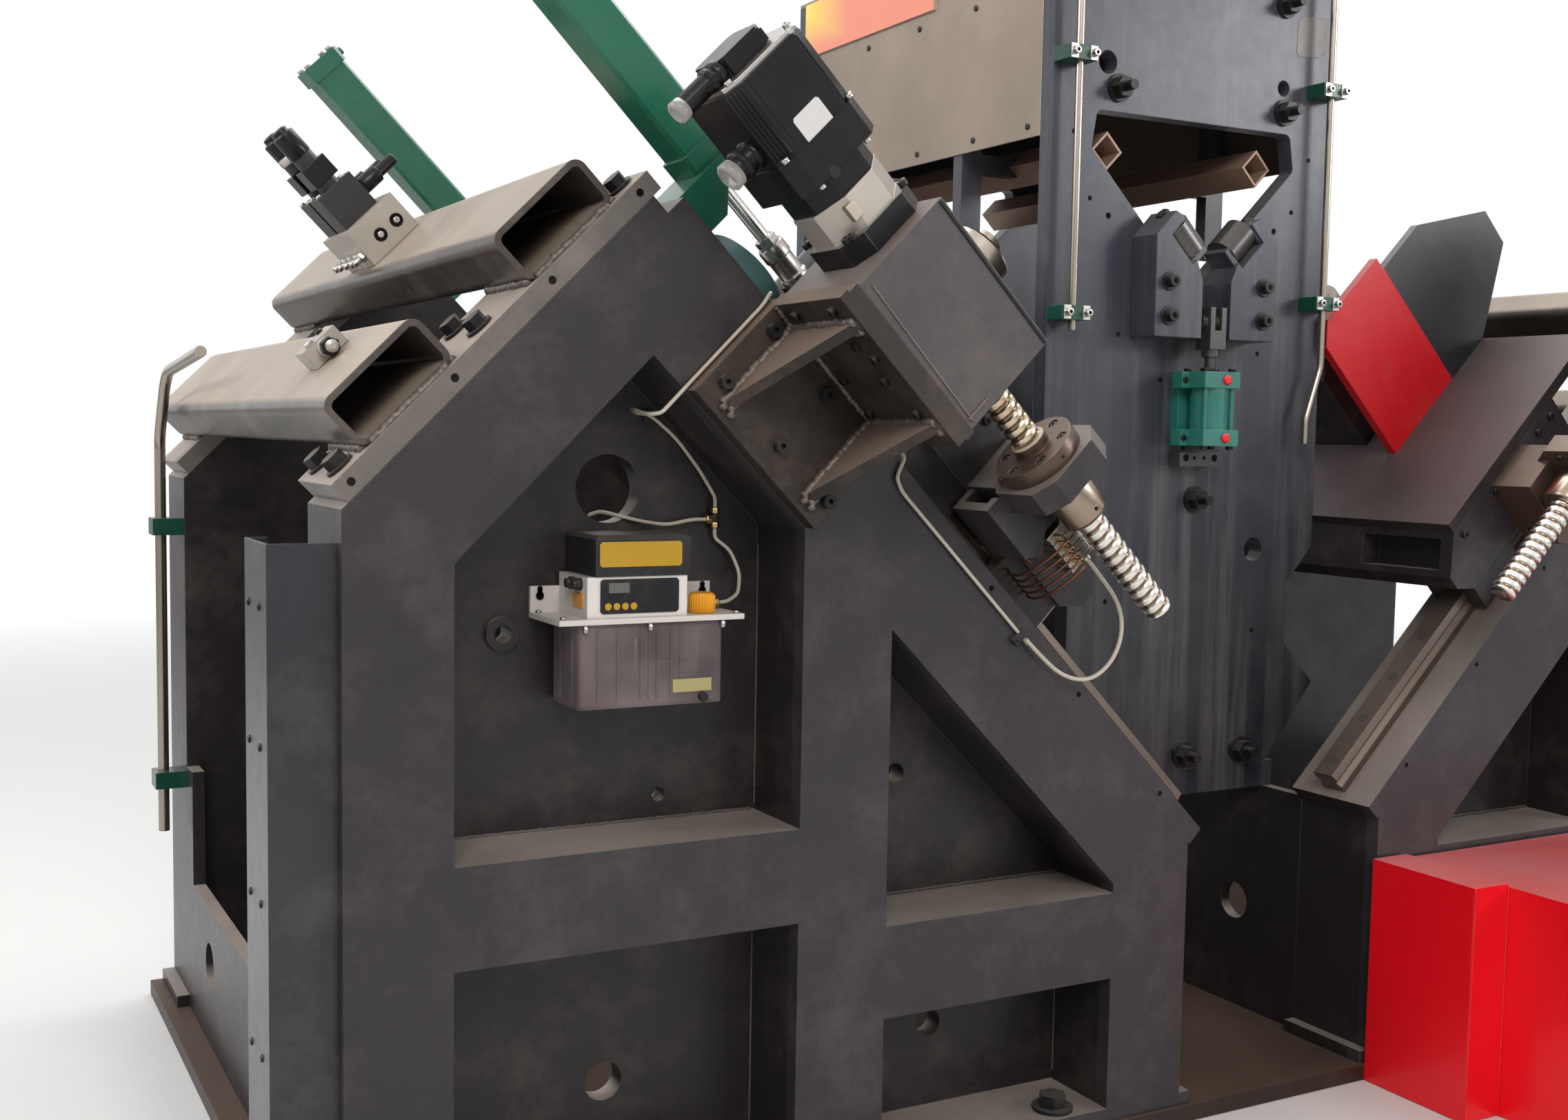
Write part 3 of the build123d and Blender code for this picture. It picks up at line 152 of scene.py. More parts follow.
def material(name):
    made = bpy.data.materials.new(name)
    made.use_nodes = True
    tree = made.node_tree
    tree.nodes.clear()
    shader = node(tree, "ShaderNodeBsdfPrincipled")
    out = node(tree, "ShaderNodeOutputMaterial")
    tree.links.new(shader.outputs[0], out.inputs[0])
    return made, tree, shader


def place_of(tree, scale=(1, 1, 1)):
    coords = node(tree, "ShaderNodeTexCoord")
    if scale == (1, 1, 1):
        return coords.outputs["Object"]
    return node(tree, "ShaderNodeMapping", {0: coords.outputs["Object"], 3: scale}).outputs[0]


def clouds(tree, where, scale, detail=4, rough=0.55):
    inputs = {"Vector": where, "Scale": scale, "Detail": detail, "Roughness": rough}
    return node(tree, "ShaderNodeTexNoise", inputs).outputs[0]


def span(tree, value, low, high, to_low=0.0, to_high=1.0):
    made = node(tree, "ShaderNodeMapRange", {0: value, 1: low, 2: high, 3: to_low, 4: to_high})
    return made.outputs[0]


def calc(tree, operation, a, b=0.0):
    return node(tree, "ShaderNodeMath", {0: a, 1: b}, operation=operation).outputs[0]


def times(tree, *values):
    product = values[0]
    for value in values[1:]:
        product = calc(tree, "MULTIPLY", product, value)
    return product


def blend_colors(tree, factor, a, b):
    made = node(tree, "ShaderNodeMix", data_type="RGBA")
    for key, value in ((0, factor), (6, a), (7, b)):
        if isinstance(value, bpy.types.NodeSocket):
            tree.links.new(value, made.inputs[key])
        elif key:
            made.inputs[key].default_value = tuple(value) + (1,)
        else:
            made.inputs[key].default_value = value
    return made.outputs[2]


def shade(color, factor):
    return tuple(min(1, channel * factor) for channel in color)


def facing_up(tree, low, high):
    normal = node(tree, "ShaderNodeNewGeometry").outputs["Normal"]
    parts = node(tree, "ShaderNodeSeparateXYZ", {0: normal})
    return span(tree, parts.outputs[2], low, high)


def edge_wear_and_highlight_mask(tree, rounded):
    """How far the rounded normal leans away from the flat one: the edges, painted lighter both for wear and
    as a painted highlight.
    """
    flat = node(tree, "ShaderNodeNewGeometry").outputs["Normal"]
    made = node(tree, "ShaderNodeVectorMath", {0: rounded, 1: flat}, operation="DOT_PRODUCT")
    return span(tree, made.outputs["Value"], 0.99, 0.88)


def band(axis, low, high=9000):
    """Mask of what lies between two levels along an axis; the two units share it by the size of X."""
    def build(tree):
        parts = node(tree, "ShaderNodeSeparateXYZ", {0: place_of(tree)})
        level = 0.0
        across = calc(tree, "ABSOLUTE", parts.outputs[0])
        for part, share in zip((across, parts.outputs[1], parts.outputs[2]), axis):
            if share:
                level = calc(tree, "ADD", calc(tree, "MULTIPLY", part, share * 1000), level)
        above = span(tree, level, low - 0.2, low + 0.2)
        return times(tree, above, span(tree, level, high + 0.2, high - 0.2))
    return build


def fade_up(low, high, most):
    """Mask that grows from one height to another."""
    def build(tree):
        parts = node(tree, "ShaderNodeSeparateXYZ", {0: place_of(tree)})
        return span(tree, calc(tree, "MULTIPLY", parts.outputs[2], 1000), low, high, 0, most)
    return build


# Scales of the clouds in a surface, and the metres of its relief
BROAD_SCALE = 2.3
SMUDGE_SCALE = 7
FINE_SCALE = 38
GRAIN_SCALE = 240
STREAKS = (26, 26, 1.3)
STREAK_PATCHES = (4, 4, 0.5)
RELIEF_HEIGHT = 0.0008
BEVEL_SAMPLES = 4


def streaks(tree):
    """Runs that water and dust leave on upright faces."""
    runs = clouds(tree, place_of(tree, STREAKS), 1.0, 5, 0.6)
    wide = clouds(tree, place_of(tree, STREAK_PATCHES), 1.0, 4, 0.6)
    return times(tree, span(tree, runs, 0.45, 0.75), span(tree, wide, 0.35, 0.7))


def relief(tree, shader, where, fine, grain, bump, rounded):
    if grain:
        rough_grain = clouds(tree, place_of(tree, grain), 1.0, 3)
    else:
        rough_grain = clouds(tree, where, GRAIN_SCALE, 3)
    height = calc(tree, "ADD", calc(tree, "MULTIPLY", rough_grain, 0.5), fine)
    lift = node(tree, "ShaderNodeBump",
                {"Strength": bump, "Distance": RELIEF_HEIGHT, "Height": height, "Normal": rounded})
    tree.links.new(lift.outputs[0], shader.inputs["Normal"])


def surface(name, base, rough=0.4, metallic=0.0, mottle=0.3, dust=(0.30, 0.26, 0.22), dust_amount=0.5,
            edge=0.35, edge_color=None, streak=0.0, bump=0.2, coat=0.0, grain=None, edge_width=0.002,
            second=None, speck=0.10, specular=0.36):
    """Painted, machined or moulded surface with dust on what faces up, which on the frames, channel and tubes
    is pale enough to be partly a painted highlight; edges lighter, partly from wear and partly as painted
    highlight; and fine relief.
    """
    made, tree, shader = material(name)
    where = place_of(tree)
    broad = clouds(tree, where, BROAD_SCALE, 7, 0.62)
    fine = clouds(tree, where, FINE_SCALE, 5)
    color = blend_colors(tree, span(tree, broad, 0.3, 0.7), shade(base, 1 - mottle), shade(base, 1 + mottle))
    if second:
        mask, other = second
        color = blend_colors(tree, mask(tree), color, other)
    smudge = span(tree, clouds(tree, where, SMUDGE_SCALE, 9, 0.75), 0.48, 0.75)
    color = blend_colors(tree, times(tree, smudge, speck), color, dust)
    patchy = span(tree, broad, 0.25, 0.62, 0.45, 1.0)
    # Dust on what faces up; with the pale dust colours of the frames, channel and tubes it is also a painted
    # highlight on their tops and ledges
    up_dust_and_sheen = times(tree, facing_up(tree, 0.2, 0.8), patchy, dust_amount)
    color = blend_colors(tree, up_dust_and_sheen, color, dust)
    if streak:
        color = blend_colors(tree, times(tree, streaks(tree), streak), color, dust)
    rounded = node(tree, "ShaderNodeBevel", {"Radius": edge_width}, samples=BEVEL_SAMPLES).outputs[0]
    # Edges turn lighter: partly wear, partly a painted highlight along them
    if edge:
        tone_shift = times(tree, edge_wear_and_highlight_mask(tree, rounded), span(tree, fine, 0.3, 0.65), edge)
        color = blend_colors(tree, tone_shift, color, edge_color or shade(base, 4))
    dull = times(tree, calc(tree, "ADD", up_dust_and_sheen, calc(tree, "MULTIPLY", fine, 0.5)), 0.22)
    tree.links.new(color, shader.inputs["Base Color"])
    tree.links.new(calc(tree, "ADD", dull, rough - 0.06), shader.inputs["Roughness"])
    shader.inputs["Metallic"].default_value = metallic
    shader.inputs["Specular IOR Level"].default_value = specular
    shader.inputs["Coat Weight"].default_value = coat
    shader.inputs["Coat Roughness"].default_value = 0.12
    relief(tree, shader, where, fine, grain, bump, rounded)
    return made


def clear_plastic(name, tint, haze, share):
    """Thin clear wall: mostly see-through, with a hazy share that rises where it is seen at a slant."""
    made, tree, shader = material(name)
    where = place_of(tree)
    cloud = clouds(tree, where, 9, 6)
    tree.links.new(blend_colors(tree, cloud, shade(haze, 0.6), shade(haze, 1.4)), shader.inputs["Base Color"])
    tree.links.new(span(tree, clouds(tree, where, 30, 4), 0.3, 0.7, 0.06, 0.25), shader.inputs["Roughness"])
    through = node(tree, "ShaderNodeBsdfTransparent", {0: tuple(tint) + (1,)})
    slant = node(tree, "ShaderNodeFresnel", {0: 1.5}).outputs[0]
    amount = calc(tree, "ADD", calc(tree, "MULTIPLY", cloud, 2 * share), slant)
    both = node(tree, "ShaderNodeMixShader", {0: amount, 1: through.outputs[0], 2: shader.outputs[0]})
    tree.links.new(both.outputs[0], tree.nodes["Material Output"].inputs[0])
    return made


def greased_screw():
    """Ball screw: bright crests, dark greased grooves, browner towards its upper end."""
    made, tree, shader = material("greased_screw")
    parts = node(tree, "ShaderNodeSeparateXYZ", {0: place_of(tree)})
    depth = node(tree, "ShaderNodeAttribute", attribute_name="groove").outputs["Fac"]
    fine = clouds(tree, place_of(tree), 60, 5)
    crest = blend_colors(tree, span(tree, fine, 0.3, 0.7), (0.70, 0.67, 0.61), (0.90, 0.88, 0.84))
    tone_shift = span(tree, parts.outputs[2], 0.90, 1.06)
    crest = blend_colors(tree, tone_shift, crest, (0.60, 0.47, 0.32))
    color = blend_colors(tree, span(tree, depth, 0.15, 0.9), crest, (0.22, 0.165, 0.11))
    tree.links.new(color, shader.inputs["Base Color"])
    tree.links.new(span(tree, fine, 0.2, 0.8, 0.14, 0.34), shader.inputs["Roughness"])
    shader.inputs["Metallic"].default_value = 1.0
    return made


def sign_colors():
    """Plain fade from yellow to orange red across the board."""
    made, tree, shader = material("sign_colors")
    parts = node(tree, "ShaderNodeSeparateXYZ", {0: place_of(tree)})
    along = span(tree, parts.outputs[1], 1.05, 0.88)
    down = span(tree, parts.outputs[2], 1.835, 1.76)
    color = blend_colors(tree, calc(tree, "MAXIMUM", along, down), (1.0, 0.80, 0.12), (0.90, 0.30, 0.20))
    tree.links.new(color, shader.inputs["Base Color"])
    gloss = span(tree, clouds(tree, place_of(tree), 20, 4), 0.3, 0.7, 0.22, 0.4)
    tree.links.new(gloss, shader.inputs["Roughness"])
    return made


# Levels between two finishes of one casting, and the depths inside a unit where its dark paint is darker as
# painted shade: along the slope, in depth and in height
U_AXIS = (-1 / ROOT2, 0, -1 / ROOT2)
Y_AXIS = (0, 1, 0)
Z_AXIS = (0, 0, 1)
RED_GUARD = band(U_AXIS, -1238, -1009)
VALVE_MANIFOLD = band(U_AXIS, -1841.5, -1781.5)
GEARBOX_ADAPTER = band(U_AXIS, -1510)
ROD_BOOT = band(U_AXIS, -1434)
CYLINDER_FOOT = band(Z_AXIS, 0, 1013.5)
WHITE_HEAD = band(Z_AXIS, 0, 845)
# Painted shade: the dark paint is darker from 25 mm behind the front faces to 25 mm before the rear faces, in
# the recesses and behind them
PAINTED_RECESS_SHADE = band(Y_AXIS, 25, UNIT_DEPTH - 25)

# Paints
# Pale dust on what faces up, made lighter than the dust alone so that on up-facing slopes and ledges it also
# stands for their sheen and light: partly painted highlight
DUST_AND_SHEEN = (0.44, 0.37, 0.32)
BROWN = (0.20, 0.155, 0.125)
# The dark paint's second colour is painted shade, darker inside the units
dark_paint = surface("dark_paint", (0.031, 0.027, 0.031), 0.36, dust=DUST_AND_SHEEN, dust_amount=0.7, edge=0.5,
                     mottle=0.2, second=(PAINTED_RECESS_SHADE, (0.0185, 0.0150, 0.0160)))
# The pale dust on the tube tops stands partly for their grazing sheen: painted highlight
tube_paint = surface("tube_paint", (0.052, 0.042, 0.038), 0.30, dust=(0.48, 0.39, 0.31), dust_amount=0.85,
                     edge=0.5, mottle=0.3, speck=0.25)
pad_steel = surface("pad_steel", (0.130, 0.115, 0.105), 0.34, dust=(0.46, 0.38, 0.31), dust_amount=0.85,
                    edge=0.5, mottle=0.25, speck=0.25)
bracket_paint = surface("bracket_paint", (0.021, 0.0155, 0.0125), 0.46, dust=(0.23, 0.165, 0.125),
                        dust_amount=0.9, bump=0.45, speck=0.25)
box_paint = surface("box_paint", (0.062, 0.055, 0.058), 0.40, dust=(0.30, 0.235, 0.19), dust_amount=0.5,
                    edge=0.35, bump=0.4, speck=0.2)
# The tower plate turns lighter and bluer from 650 mm up to 1400 mm: a painted highlight on its upper part
tower_paint = surface("tower_paint", (0.020, 0.021, 0.027), 0.30, dust=(0.24, 0.22, 0.215), dust_amount=0.5,
                      streak=0.5, mottle=0.35, second=(fade_up(650, 1400, 0.40), (0.092, 0.098, 0.130)))
plate_paint = surface("plate_paint", (0.024, 0.019, 0.020), 0.38, dust=(0.150, 0.110, 0.112),
                      dust_amount=0.75, mottle=0.25, bump=0.3)
base_paint = surface("base_paint", (0.027, 0.0165, 0.012), 0.45, dust=(0.120, 0.078, 0.056),
                     dust_amount=0.75, mottle=0.5, bump=0.6, speck=0.35)
channel_paint = surface("channel_paint", (0.030, 0.031, 0.037), 0.28, dust=DUST_AND_SHEEN)
bolt_black = surface("bolt_black", (0.014, 0.014, 0.015), 0.35, metallic=0.3, dust_amount=0.35, edge=0.6,
                     edge_width=0.0008, specular=0.3)
motor_black = surface("motor_black", (0.007, 0.006, 0.007), 0.26, dust_amount=0.05, coat=0.05, bump=0.05,
                      edge=0.3, mottle=0.1, speck=0.03, specular=0.22)
guard_paint = surface("guard_paint", (0.016, 0.017, 0.021), 0.34, dust_amount=0.3, edge=0.4,
                      second=(RED_GUARD, (0.56, 0.006, 0.012)))
green_paint = surface("green_paint", (0.006, 0.120, 0.066), 0.28, dust_amount=0.15, coat=0.3, edge=0.4,
                      edge_color=(0.12, 0.42, 0.34), edge_width=0.0012)
clamp_green = surface("clamp_green", (0.004, 0.060, 0.036), 0.32, dust_amount=0.15, coat=0.2, edge=0.3)
cylinder_green = surface("cylinder_green", (0.028, 0.200, 0.160), 0.30, dust_amount=0.15, coat=0.2,
                         edge=0.4, edge_color=(0.15, 0.48, 0.40),
                         second=(CYLINDER_FOOT, (0.045, 0.042, 0.042)))
teal_paint = surface("teal_paint", (0.085, 0.190, 0.195), 0.34, dust_amount=0.35)
red_paint = surface("red_paint", (0.820, 0.005, 0.013), 0.30, dust=(0.60, 0.20, 0.19), dust_amount=0.85,
                    mottle=0.06, edge=0.3, edge_color=(0.90, 0.20, 0.20), coat=0.2, bump=0.06, speck=0.03)

# Bare metal

machined = surface("machined", (0.40, 0.35, 0.29), 0.36, metallic=0.85, dust=BROWN, dust_amount=0.35,
                   edge=0.4, edge_color=(0.8, 0.77, 0.7), grain=(900, 60, 60))
rail_steel = surface("rail_steel", (0.13, 0.10, 0.082), 0.36, metallic=0.6, dust=BROWN, dust_amount=0.45,
                     grain=(60, 700, 60), speck=0.2)
rusty_bar = surface("rusty_bar", (0.34, 0.215, 0.155), 0.45, metallic=0.2, dust=BROWN, dust_amount=0.4,
                    speck=0.3)
nut_steel = surface("nut_steel", (0.115, 0.080, 0.062), 0.32, metallic=0.6, dust=BROWN, dust_amount=0.4,
                    edge=0.6)
sleeve_steel = surface("sleeve_steel", (0.38, 0.30, 0.235), 0.26, metallic=1.0, dust_amount=0.1,
                       mottle=0.15, edge=0.3, bump=0.08)
side_sheet = surface("side_sheet", (0.30, 0.24, 0.19), 0.32, metallic=0.6, dust=(0.25, 0.2, 0.16),
                     dust_amount=0.3, streak=0.25, mottle=0.25, grain=(60, 60, 500), edge=0.3, speck=0.2)
brushed = surface("brushed", (0.46, 0.41, 0.35), 0.30, metallic=0.95, dust_amount=0.1, mottle=0.12,
                  edge=0.2, bump=0.08)
roller_steel = surface("roller_steel", (0.090, 0.085, 0.084), 0.28, metallic=0.6, dust_amount=0.2, edge=0.5)
silver = surface("silver", (0.46, 0.44, 0.41), 0.26, metallic=0.95, dust_amount=0.15, mottle=0.12, edge=0.3,
                 bump=0.08)
pipe_steel = surface("pipe_steel", (0.34, 0.30, 0.25), 0.24, metallic=0.95, dust_amount=0.1, mottle=0.15,
                     bump=0.03)
alloy = surface("alloy", (0.020, 0.020, 0.021), 0.40, dust=BROWN, dust_amount=0.4, mottle=0.3, bump=0.2,
                second=(VALVE_MANIFOLD, (0.42, 0.38, 0.33)))
gear_case = surface("gear_case", (0.40, 0.36, 0.32), 0.40, metallic=0.45, dust=BROWN, dust_amount=0.25,
                    second=(GEARBOX_ADAPTER, (0.012, 0.012, 0.014)), edge=0.3)
rod_steel = surface("rod_steel", (0.72, 0.71, 0.69), 0.14, metallic=1.0, dust_amount=0.1, mottle=0.06,
                    second=(ROD_BOOT, (0.02, 0.02, 0.022)), edge=0.3)
brass = surface("brass", (0.60, 0.40, 0.16), 0.28, metallic=1.0, dust_amount=0.1, edge=0.4)
copper = surface("copper", (0.20, 0.085, 0.050), 0.34, metallic=0.9, dust_amount=0.2, edge=0)
weld = surface("weld", (0.115, 0.096, 0.084), 0.42, metallic=0.3, dust=BROWN, dust_amount=0.4, mottle=0.5,
               bump=0.9, edge=0)
seam = surface("seam", (0.065, 0.058, 0.055), 0.42, dust=BROWN, dust_amount=0.4, mottle=0.5, bump=0.6,
               edge=0)

# Plastics, labels, and the black of holes and recesses, which is painted shade

# Flat matte black for the mouths of holes and the recesses of screws: painted shade
hole_shade_black = surface("hole_shade_black", (0.003, 0.003, 0.003), 0.8, dust_amount=0.0, edge=0, mottle=0.1,
                     specular=0.1)
white_plastic = surface("white_plastic", (0.64, 0.605, 0.57), 0.38, dust_amount=0.25, mottle=0.06, edge=0.1)
cream_plastic = surface("cream_plastic", (0.60, 0.50, 0.36), 0.40, dust_amount=0.2, mottle=0.1, edge=0)
head_plastic = surface("head_plastic", (0.014, 0.014, 0.015), 0.40, dust_amount=0.2, mottle=0.1, bump=0.3,
                       second=(WHITE_HEAD, (0.70, 0.665, 0.63)), edge=0.2, specular=0.3)
panel_black = surface("panel_black", (0.010, 0.010, 0.011), 0.30, dust_amount=0.1, mottle=0.1, edge=0.2,
                      bump=0.05, specular=0.3)
display_grey = surface("display_grey", (0.13, 0.13, 0.12), 0.2, dust_amount=0.0, mottle=0.4, edge=0)
yellow_plastic = surface("yellow_plastic", (0.47, 0.27, 0.018), 0.32, dust_amount=0.05, mottle=0.08,
                         edge=0.1, speck=0.03)
orange_plastic = surface("orange_plastic", (0.82, 0.32, 0.012), 0.36, dust_amount=0.08, mottle=0.1,
                         edge=0.2, speck=0.03)
gold_label = surface("gold_label", (0.42, 0.36, 0.16), 0.3, dust_amount=0, mottle=0.15, edge=0)
oil_brown = surface("oil_brown", (0.26, 0.105, 0.055), 0.25, dust_amount=0, mottle=0.5, edge=0)
hose_nylon = surface("hose_nylon", (0.50, 0.46, 0.38), 0.35, dust=(0.35, 0.28, 0.2), dust_amount=0.4,
                     mottle=0.2, edge=0, bump=0.05)
label_white = surface("label_white", (0.62, 0.61, 0.59), 0.4, dust_amount=0.05, mottle=0.05, edge=0)
smoky = clear_plastic("smoky", (0.80, 0.76, 0.78), (0.42, 0.35, 0.36), 0.20)
milky = clear_plastic("milky", (0.86, 0.85, 0.83), (0.60, 0.58, 0.55), 0.45)
screw_finish = greased_screw()
sign_finish = sign_colors()


# Mesh building

# The beads' wobble takes offsets from a random state, which this makes the same in every run
NOISE_SEED = 7
noise.seed_set(NOISE_SEED)


def ring_faces(rings, sides):
    """Four-sided faces between rings of points that follow each other."""
    faces = []
    for ring in range(rings - 1):
        first = ring * sides
        for step in range(sides):
            following = (step + 1) % sides
            faces.append((first + step, first + following, first + sides + following, first + sides + step))
    return faces


def end_rings(rings, sides):
    """The first ring turned round and the last one, as the faces that close the ends."""
    last = (rings - 1) * sides
    return [tuple(range(sides - 1, -1, -1)), tuple(range(last, last + sides))]


def square(half, other=None):
    """Corners of a square about the middle, or of a rectangle."""
    other = half if other is None else other
    return [(a, b) for a in (-half, half) for b in (-other, other)]


class Shell:
    """Collects the faces of one piece; place turns its millimetres into the row frame."""

    def __init__(self, place=xyz):
        self.mesh = bmesh.new()
        self.place = place

    def add(self, points, faces, mat=0, smooth=False):
        verts = [self.mesh.verts.new(self.place(*point)) for point in points]
        for face in faces:
            made = self.mesh.faces.new([verts[index] for index in face])
            made.material_index = mat
            made.smooth = smooth

    def box(self, x, y, z, mat=0):
        points = [(a, b, c) for a in x for b in y for c in z]
        faces = [(0, 1, 3, 2), (4, 6, 7, 5), (0, 4, 5, 1), (2, 3, 7, 6), (0, 2, 6, 4), (1, 5, 7, 3)]
        self.add(points, faces, mat)

    def plate(self, outline, axis, low, high, mat=0):
        """Outline in the two other axes, extruded along one of them."""
        def lift(a, b, c):
            point = [a, b]
            point.insert(axis, c)
            return tuple(point)
        count = len(outline)
        points = [lift(a, b, low) for a, b in outline] + [lift(a, b, high) for a, b in outline]
        faces = [tuple(range(count)), tuple(range(2 * count - 1, count - 1, -1))]
        faces += [(i, (i + 1) % count, count + (i + 1) % count, count + i) for i in range(count)]
        self.add(points, faces, mat)

    def lathe(self, origin, axis, profile, mat=0, sides=24, smooth=True):
        """Profile of (distance along the axis, radius), closed at both ends."""
        axis = Vector(axis).normalized()
        side = axis.cross(Vector((0.31, 0.77, 0.56))).normalized()
        other = axis.cross(side)
        origin = Vector(origin)
        points = []
        for along, radius in profile:
            for step in range(sides):
                angle = 2 * pi * step / sides
                offset = side * (radius * cos(angle)) + other * (radius * sin(angle))
                points.append(tuple(origin + axis * along + offset))
        self.add(points, ring_faces(len(profile), sides), mat, smooth)
        for ring in end_rings(len(profile), sides):
            self.add([points[index] for index in ring], [tuple(range(sides))], mat)

    def disc(self, seat, axis, radius, mat=0, sides=16, low=-0.5, high=0.1):
        """Thin disc that stands for a hole's dark mouth, as painted shade, or a round label."""
        self.lathe(seat, axis, [(low, radius), (high, radius)], mat, sides)

    def socket_screw(self, seat, axis, radius, height, mat=0, dark=1):
        """Cylinder head with a hexagon recess, drawn as a flat dark hexagon: painted shade."""
        self.lathe(seat, axis, [(0, radius), (height - 0.6, radius), (height, radius - 0.6)], mat, 18)
        top = Vector(seat) + Vector(axis).normalized() * (height + 0.15)
        self.lathe(tuple(top), axis, [(-0.4, radius * 0.52), (0, radius * 0.52)], dark, 6, False)

    def hexagon(self, seat, axis, across, height, mat=0):
        radius = across / sqrt(3)
        self.lathe(seat, axis, [(0, radius), (height * 0.85, radius), (height, radius * 0.9)], mat, 6, False)

    def tube(self, points, radius, mat=0, sides=10, rough=0.0, seed=0):
        """Round bar along points; rough gives the swells of a weld bead."""
        points = [Vector(point) for point in points]
        flat = []
        side = None
        for index, point in enumerate(points):
            ahead = points[min(index + 1, len(points) - 1)] - points[max(index - 1, 0)]
            ahead.normalize()
            if side is None:
                side = ahead.orthogonal().normalized()
            side = (side - ahead * side.dot(ahead)).normalized()
            other = ahead.cross(side)
            for step in range(sides):
                angle = 2 * pi * step / sides
                swell = 1.0
                if rough:
                    swell += rough * noise.noise(Vector((index * 0.9, step * 1.3, seed * 7.7)))
                    swell += 0.5 * rough * sin(index * 2.1)
                flat.append(tuple(point + (side * cos(angle) + other * sin(angle)) * radius * swell))
        rings = len(points)
        self.add(flat, ring_faces(rings, sides) + end_rings(rings, sides), mat, True)

    def bead(self, start, end, radius, seed, mat=0):
        """Weld bead with a slight wobble."""
        start = Vector(start)
        end = Vector(end)
        count = max(3, int((end - start).length / (radius * 0.55)))
        points = []
        for index in range(count + 1):
            wobble = noise.noise_vector(Vector((index * 0.35, seed * 3.1, 0.5))) * radius * 0.35
            points.append(start.lerp(end, index / count) + wobble)
        self.tube(points, radius, mat, 8, 0.28, seed)

    def piece(self, name, body, materials, bevel=0.0):
        """Ends the mesh and makes it an object that rides on a body."""
        bmesh.ops.remove_doubles(self.mesh, verts=self.mesh.verts, dist=1e-7)
        bmesh.ops.recalc_face_normals(self.mesh, faces=self.mesh.faces)
        data = bpy.data.meshes.new(name)
        self.mesh.to_mesh(data)
        self.mesh.free()
        made = bpy.data.objects.new(name, data)
        bpy.context.scene.collection.objects.link(made)
        for item in materials:
            data.materials.append(item)
        if bevel:
            modifier = made.modifiers.new("edges", "BEVEL")
            modifier.width = bevel / 1000
            modifier.segments = 2
            modifier.limit_method = "ANGLE"
            modifier.angle_limit = radians(40)
        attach(made, body)
        return made


def smooth_path(points, steps=8):
    """Points of a smooth curve through the given ones."""
    points = [Vector(point) for point in points]
    ends = [2 * points[0] - points[1]] + points + [2 * points[-1] - points[-2]]
    out = []
    for a, b, c, d in zip(ends, ends[1:], ends[2:], ends[3:]):
        for step in range(steps):
            t = step / steps
            square_part = (2 * a - 5 * b + 4 * c - d) * t * t
            cube_part = (3 * b - a - 3 * c + d) * t ** 3
            out.append(0.5 * (2 * b + (c - a) * t + square_part + cube_part))
    out.append(points[-1])
    return out


# Kinds of places, each with the word that its pieces' names start with

ROW = {"": xyz}
LEFT = {"": left}
EACH_UNIT = {"left_": left, "right_": right}
FRAMES = {"left_front_": left, "left_rear_": rear_of(left),
          "right_front_": right, "right_rear_": rear_of(right)}
RODS = {"front_": left, "rear_": rear_of(left)}


def pieces(places, materials, bevel, body="base", name=None):
    """Makes a piece at each of the places; the function below it fills the shell and gives the name."""
    def build(fill):
        for part, place in places.items():
            shell = Shell(place)
            fill(shell)
            title = name.format(part) if name else part + fill.__name__
            shell.piece(title, body.format(part), materials, bevel)
        return fill
    return build


# Finishes of the CAD nodes; a unit's node has one finish for both sides

FINISH = {
    dark_paint: """left_front_frame right_front_frame rear_frames side_walls guide_beds left_nut_housing
                   carriage drill_head""",
    tower_paint: "tower_plate tower_frame roller_brackets",
    roller_steel: "clamp_rod left_roller right_roller",
    motor_black: "servo_motor drill_motor",
    machined: "screw_bearings spindle",
    nut_steel: "left_ball_nut right_nut_housing",
    hose_nylon: "oil_lines grease_hose",
    base_paint: "base_plate", bolt_black: "frame_bolts", rail_steel: "guide_rails", pad_steel: "tube_pads",
    tube_paint: "cross_tubes", gear_case: "gearboxes", green_paint: "balance_cylinders",
    teal_paint: "bed_end_cover", channel_paint: "cover_channel", alloy: "valve_blocks", pipe_steel: "pipes",
    clamp_green: "pipe_clamps", red_paint: "red_cabinets", side_sheet: "tower_sheets",
    rusty_bar: "guide_bars", cylinder_green: "clamp_cylinder", smoky: "pump_tank", white_plastic: "pump_lid",
    head_plastic: "pump_head", orange_plastic: "pump_cap", rod_steel: "left_balance_rods",
    silver: "left_distributor",
    guard_paint: "right_guards", bracket_paint: "screw_bracket", box_paint: "bearing_box",
    screw_finish: "ball_screw", plate_paint: "top_plate", brushed: "quill",
}
FINISH_OF = {node_name: finish for finish, names in FINISH.items() for node_name in names.split()}
for name, item in NODES.items():
    finish = FINISH_OF.get(name) or FINISH_OF[name.split("_", 1)[1]]
    item.data.materials.clear()
    item.data.materials.append(finish)


# Ball screws with their rolled thread

THREAD_DEPTH = 3.0
GROOVE_HALF = 0.23
SCREW_SIDES = 36
ROW_STEP = 1.6
JOURNAL_START = -1468


def thread_share(u, turn, hand):
    """Share of the full groove depth at a place on the screw's surface; turn counts round the axis."""
    phase = (u / SCREW_LEAD - hand * turn) % 1 - 0.5
    return max(0.0, 1 - (phase / GROOVE_HALF) ** 2) ** 0.5


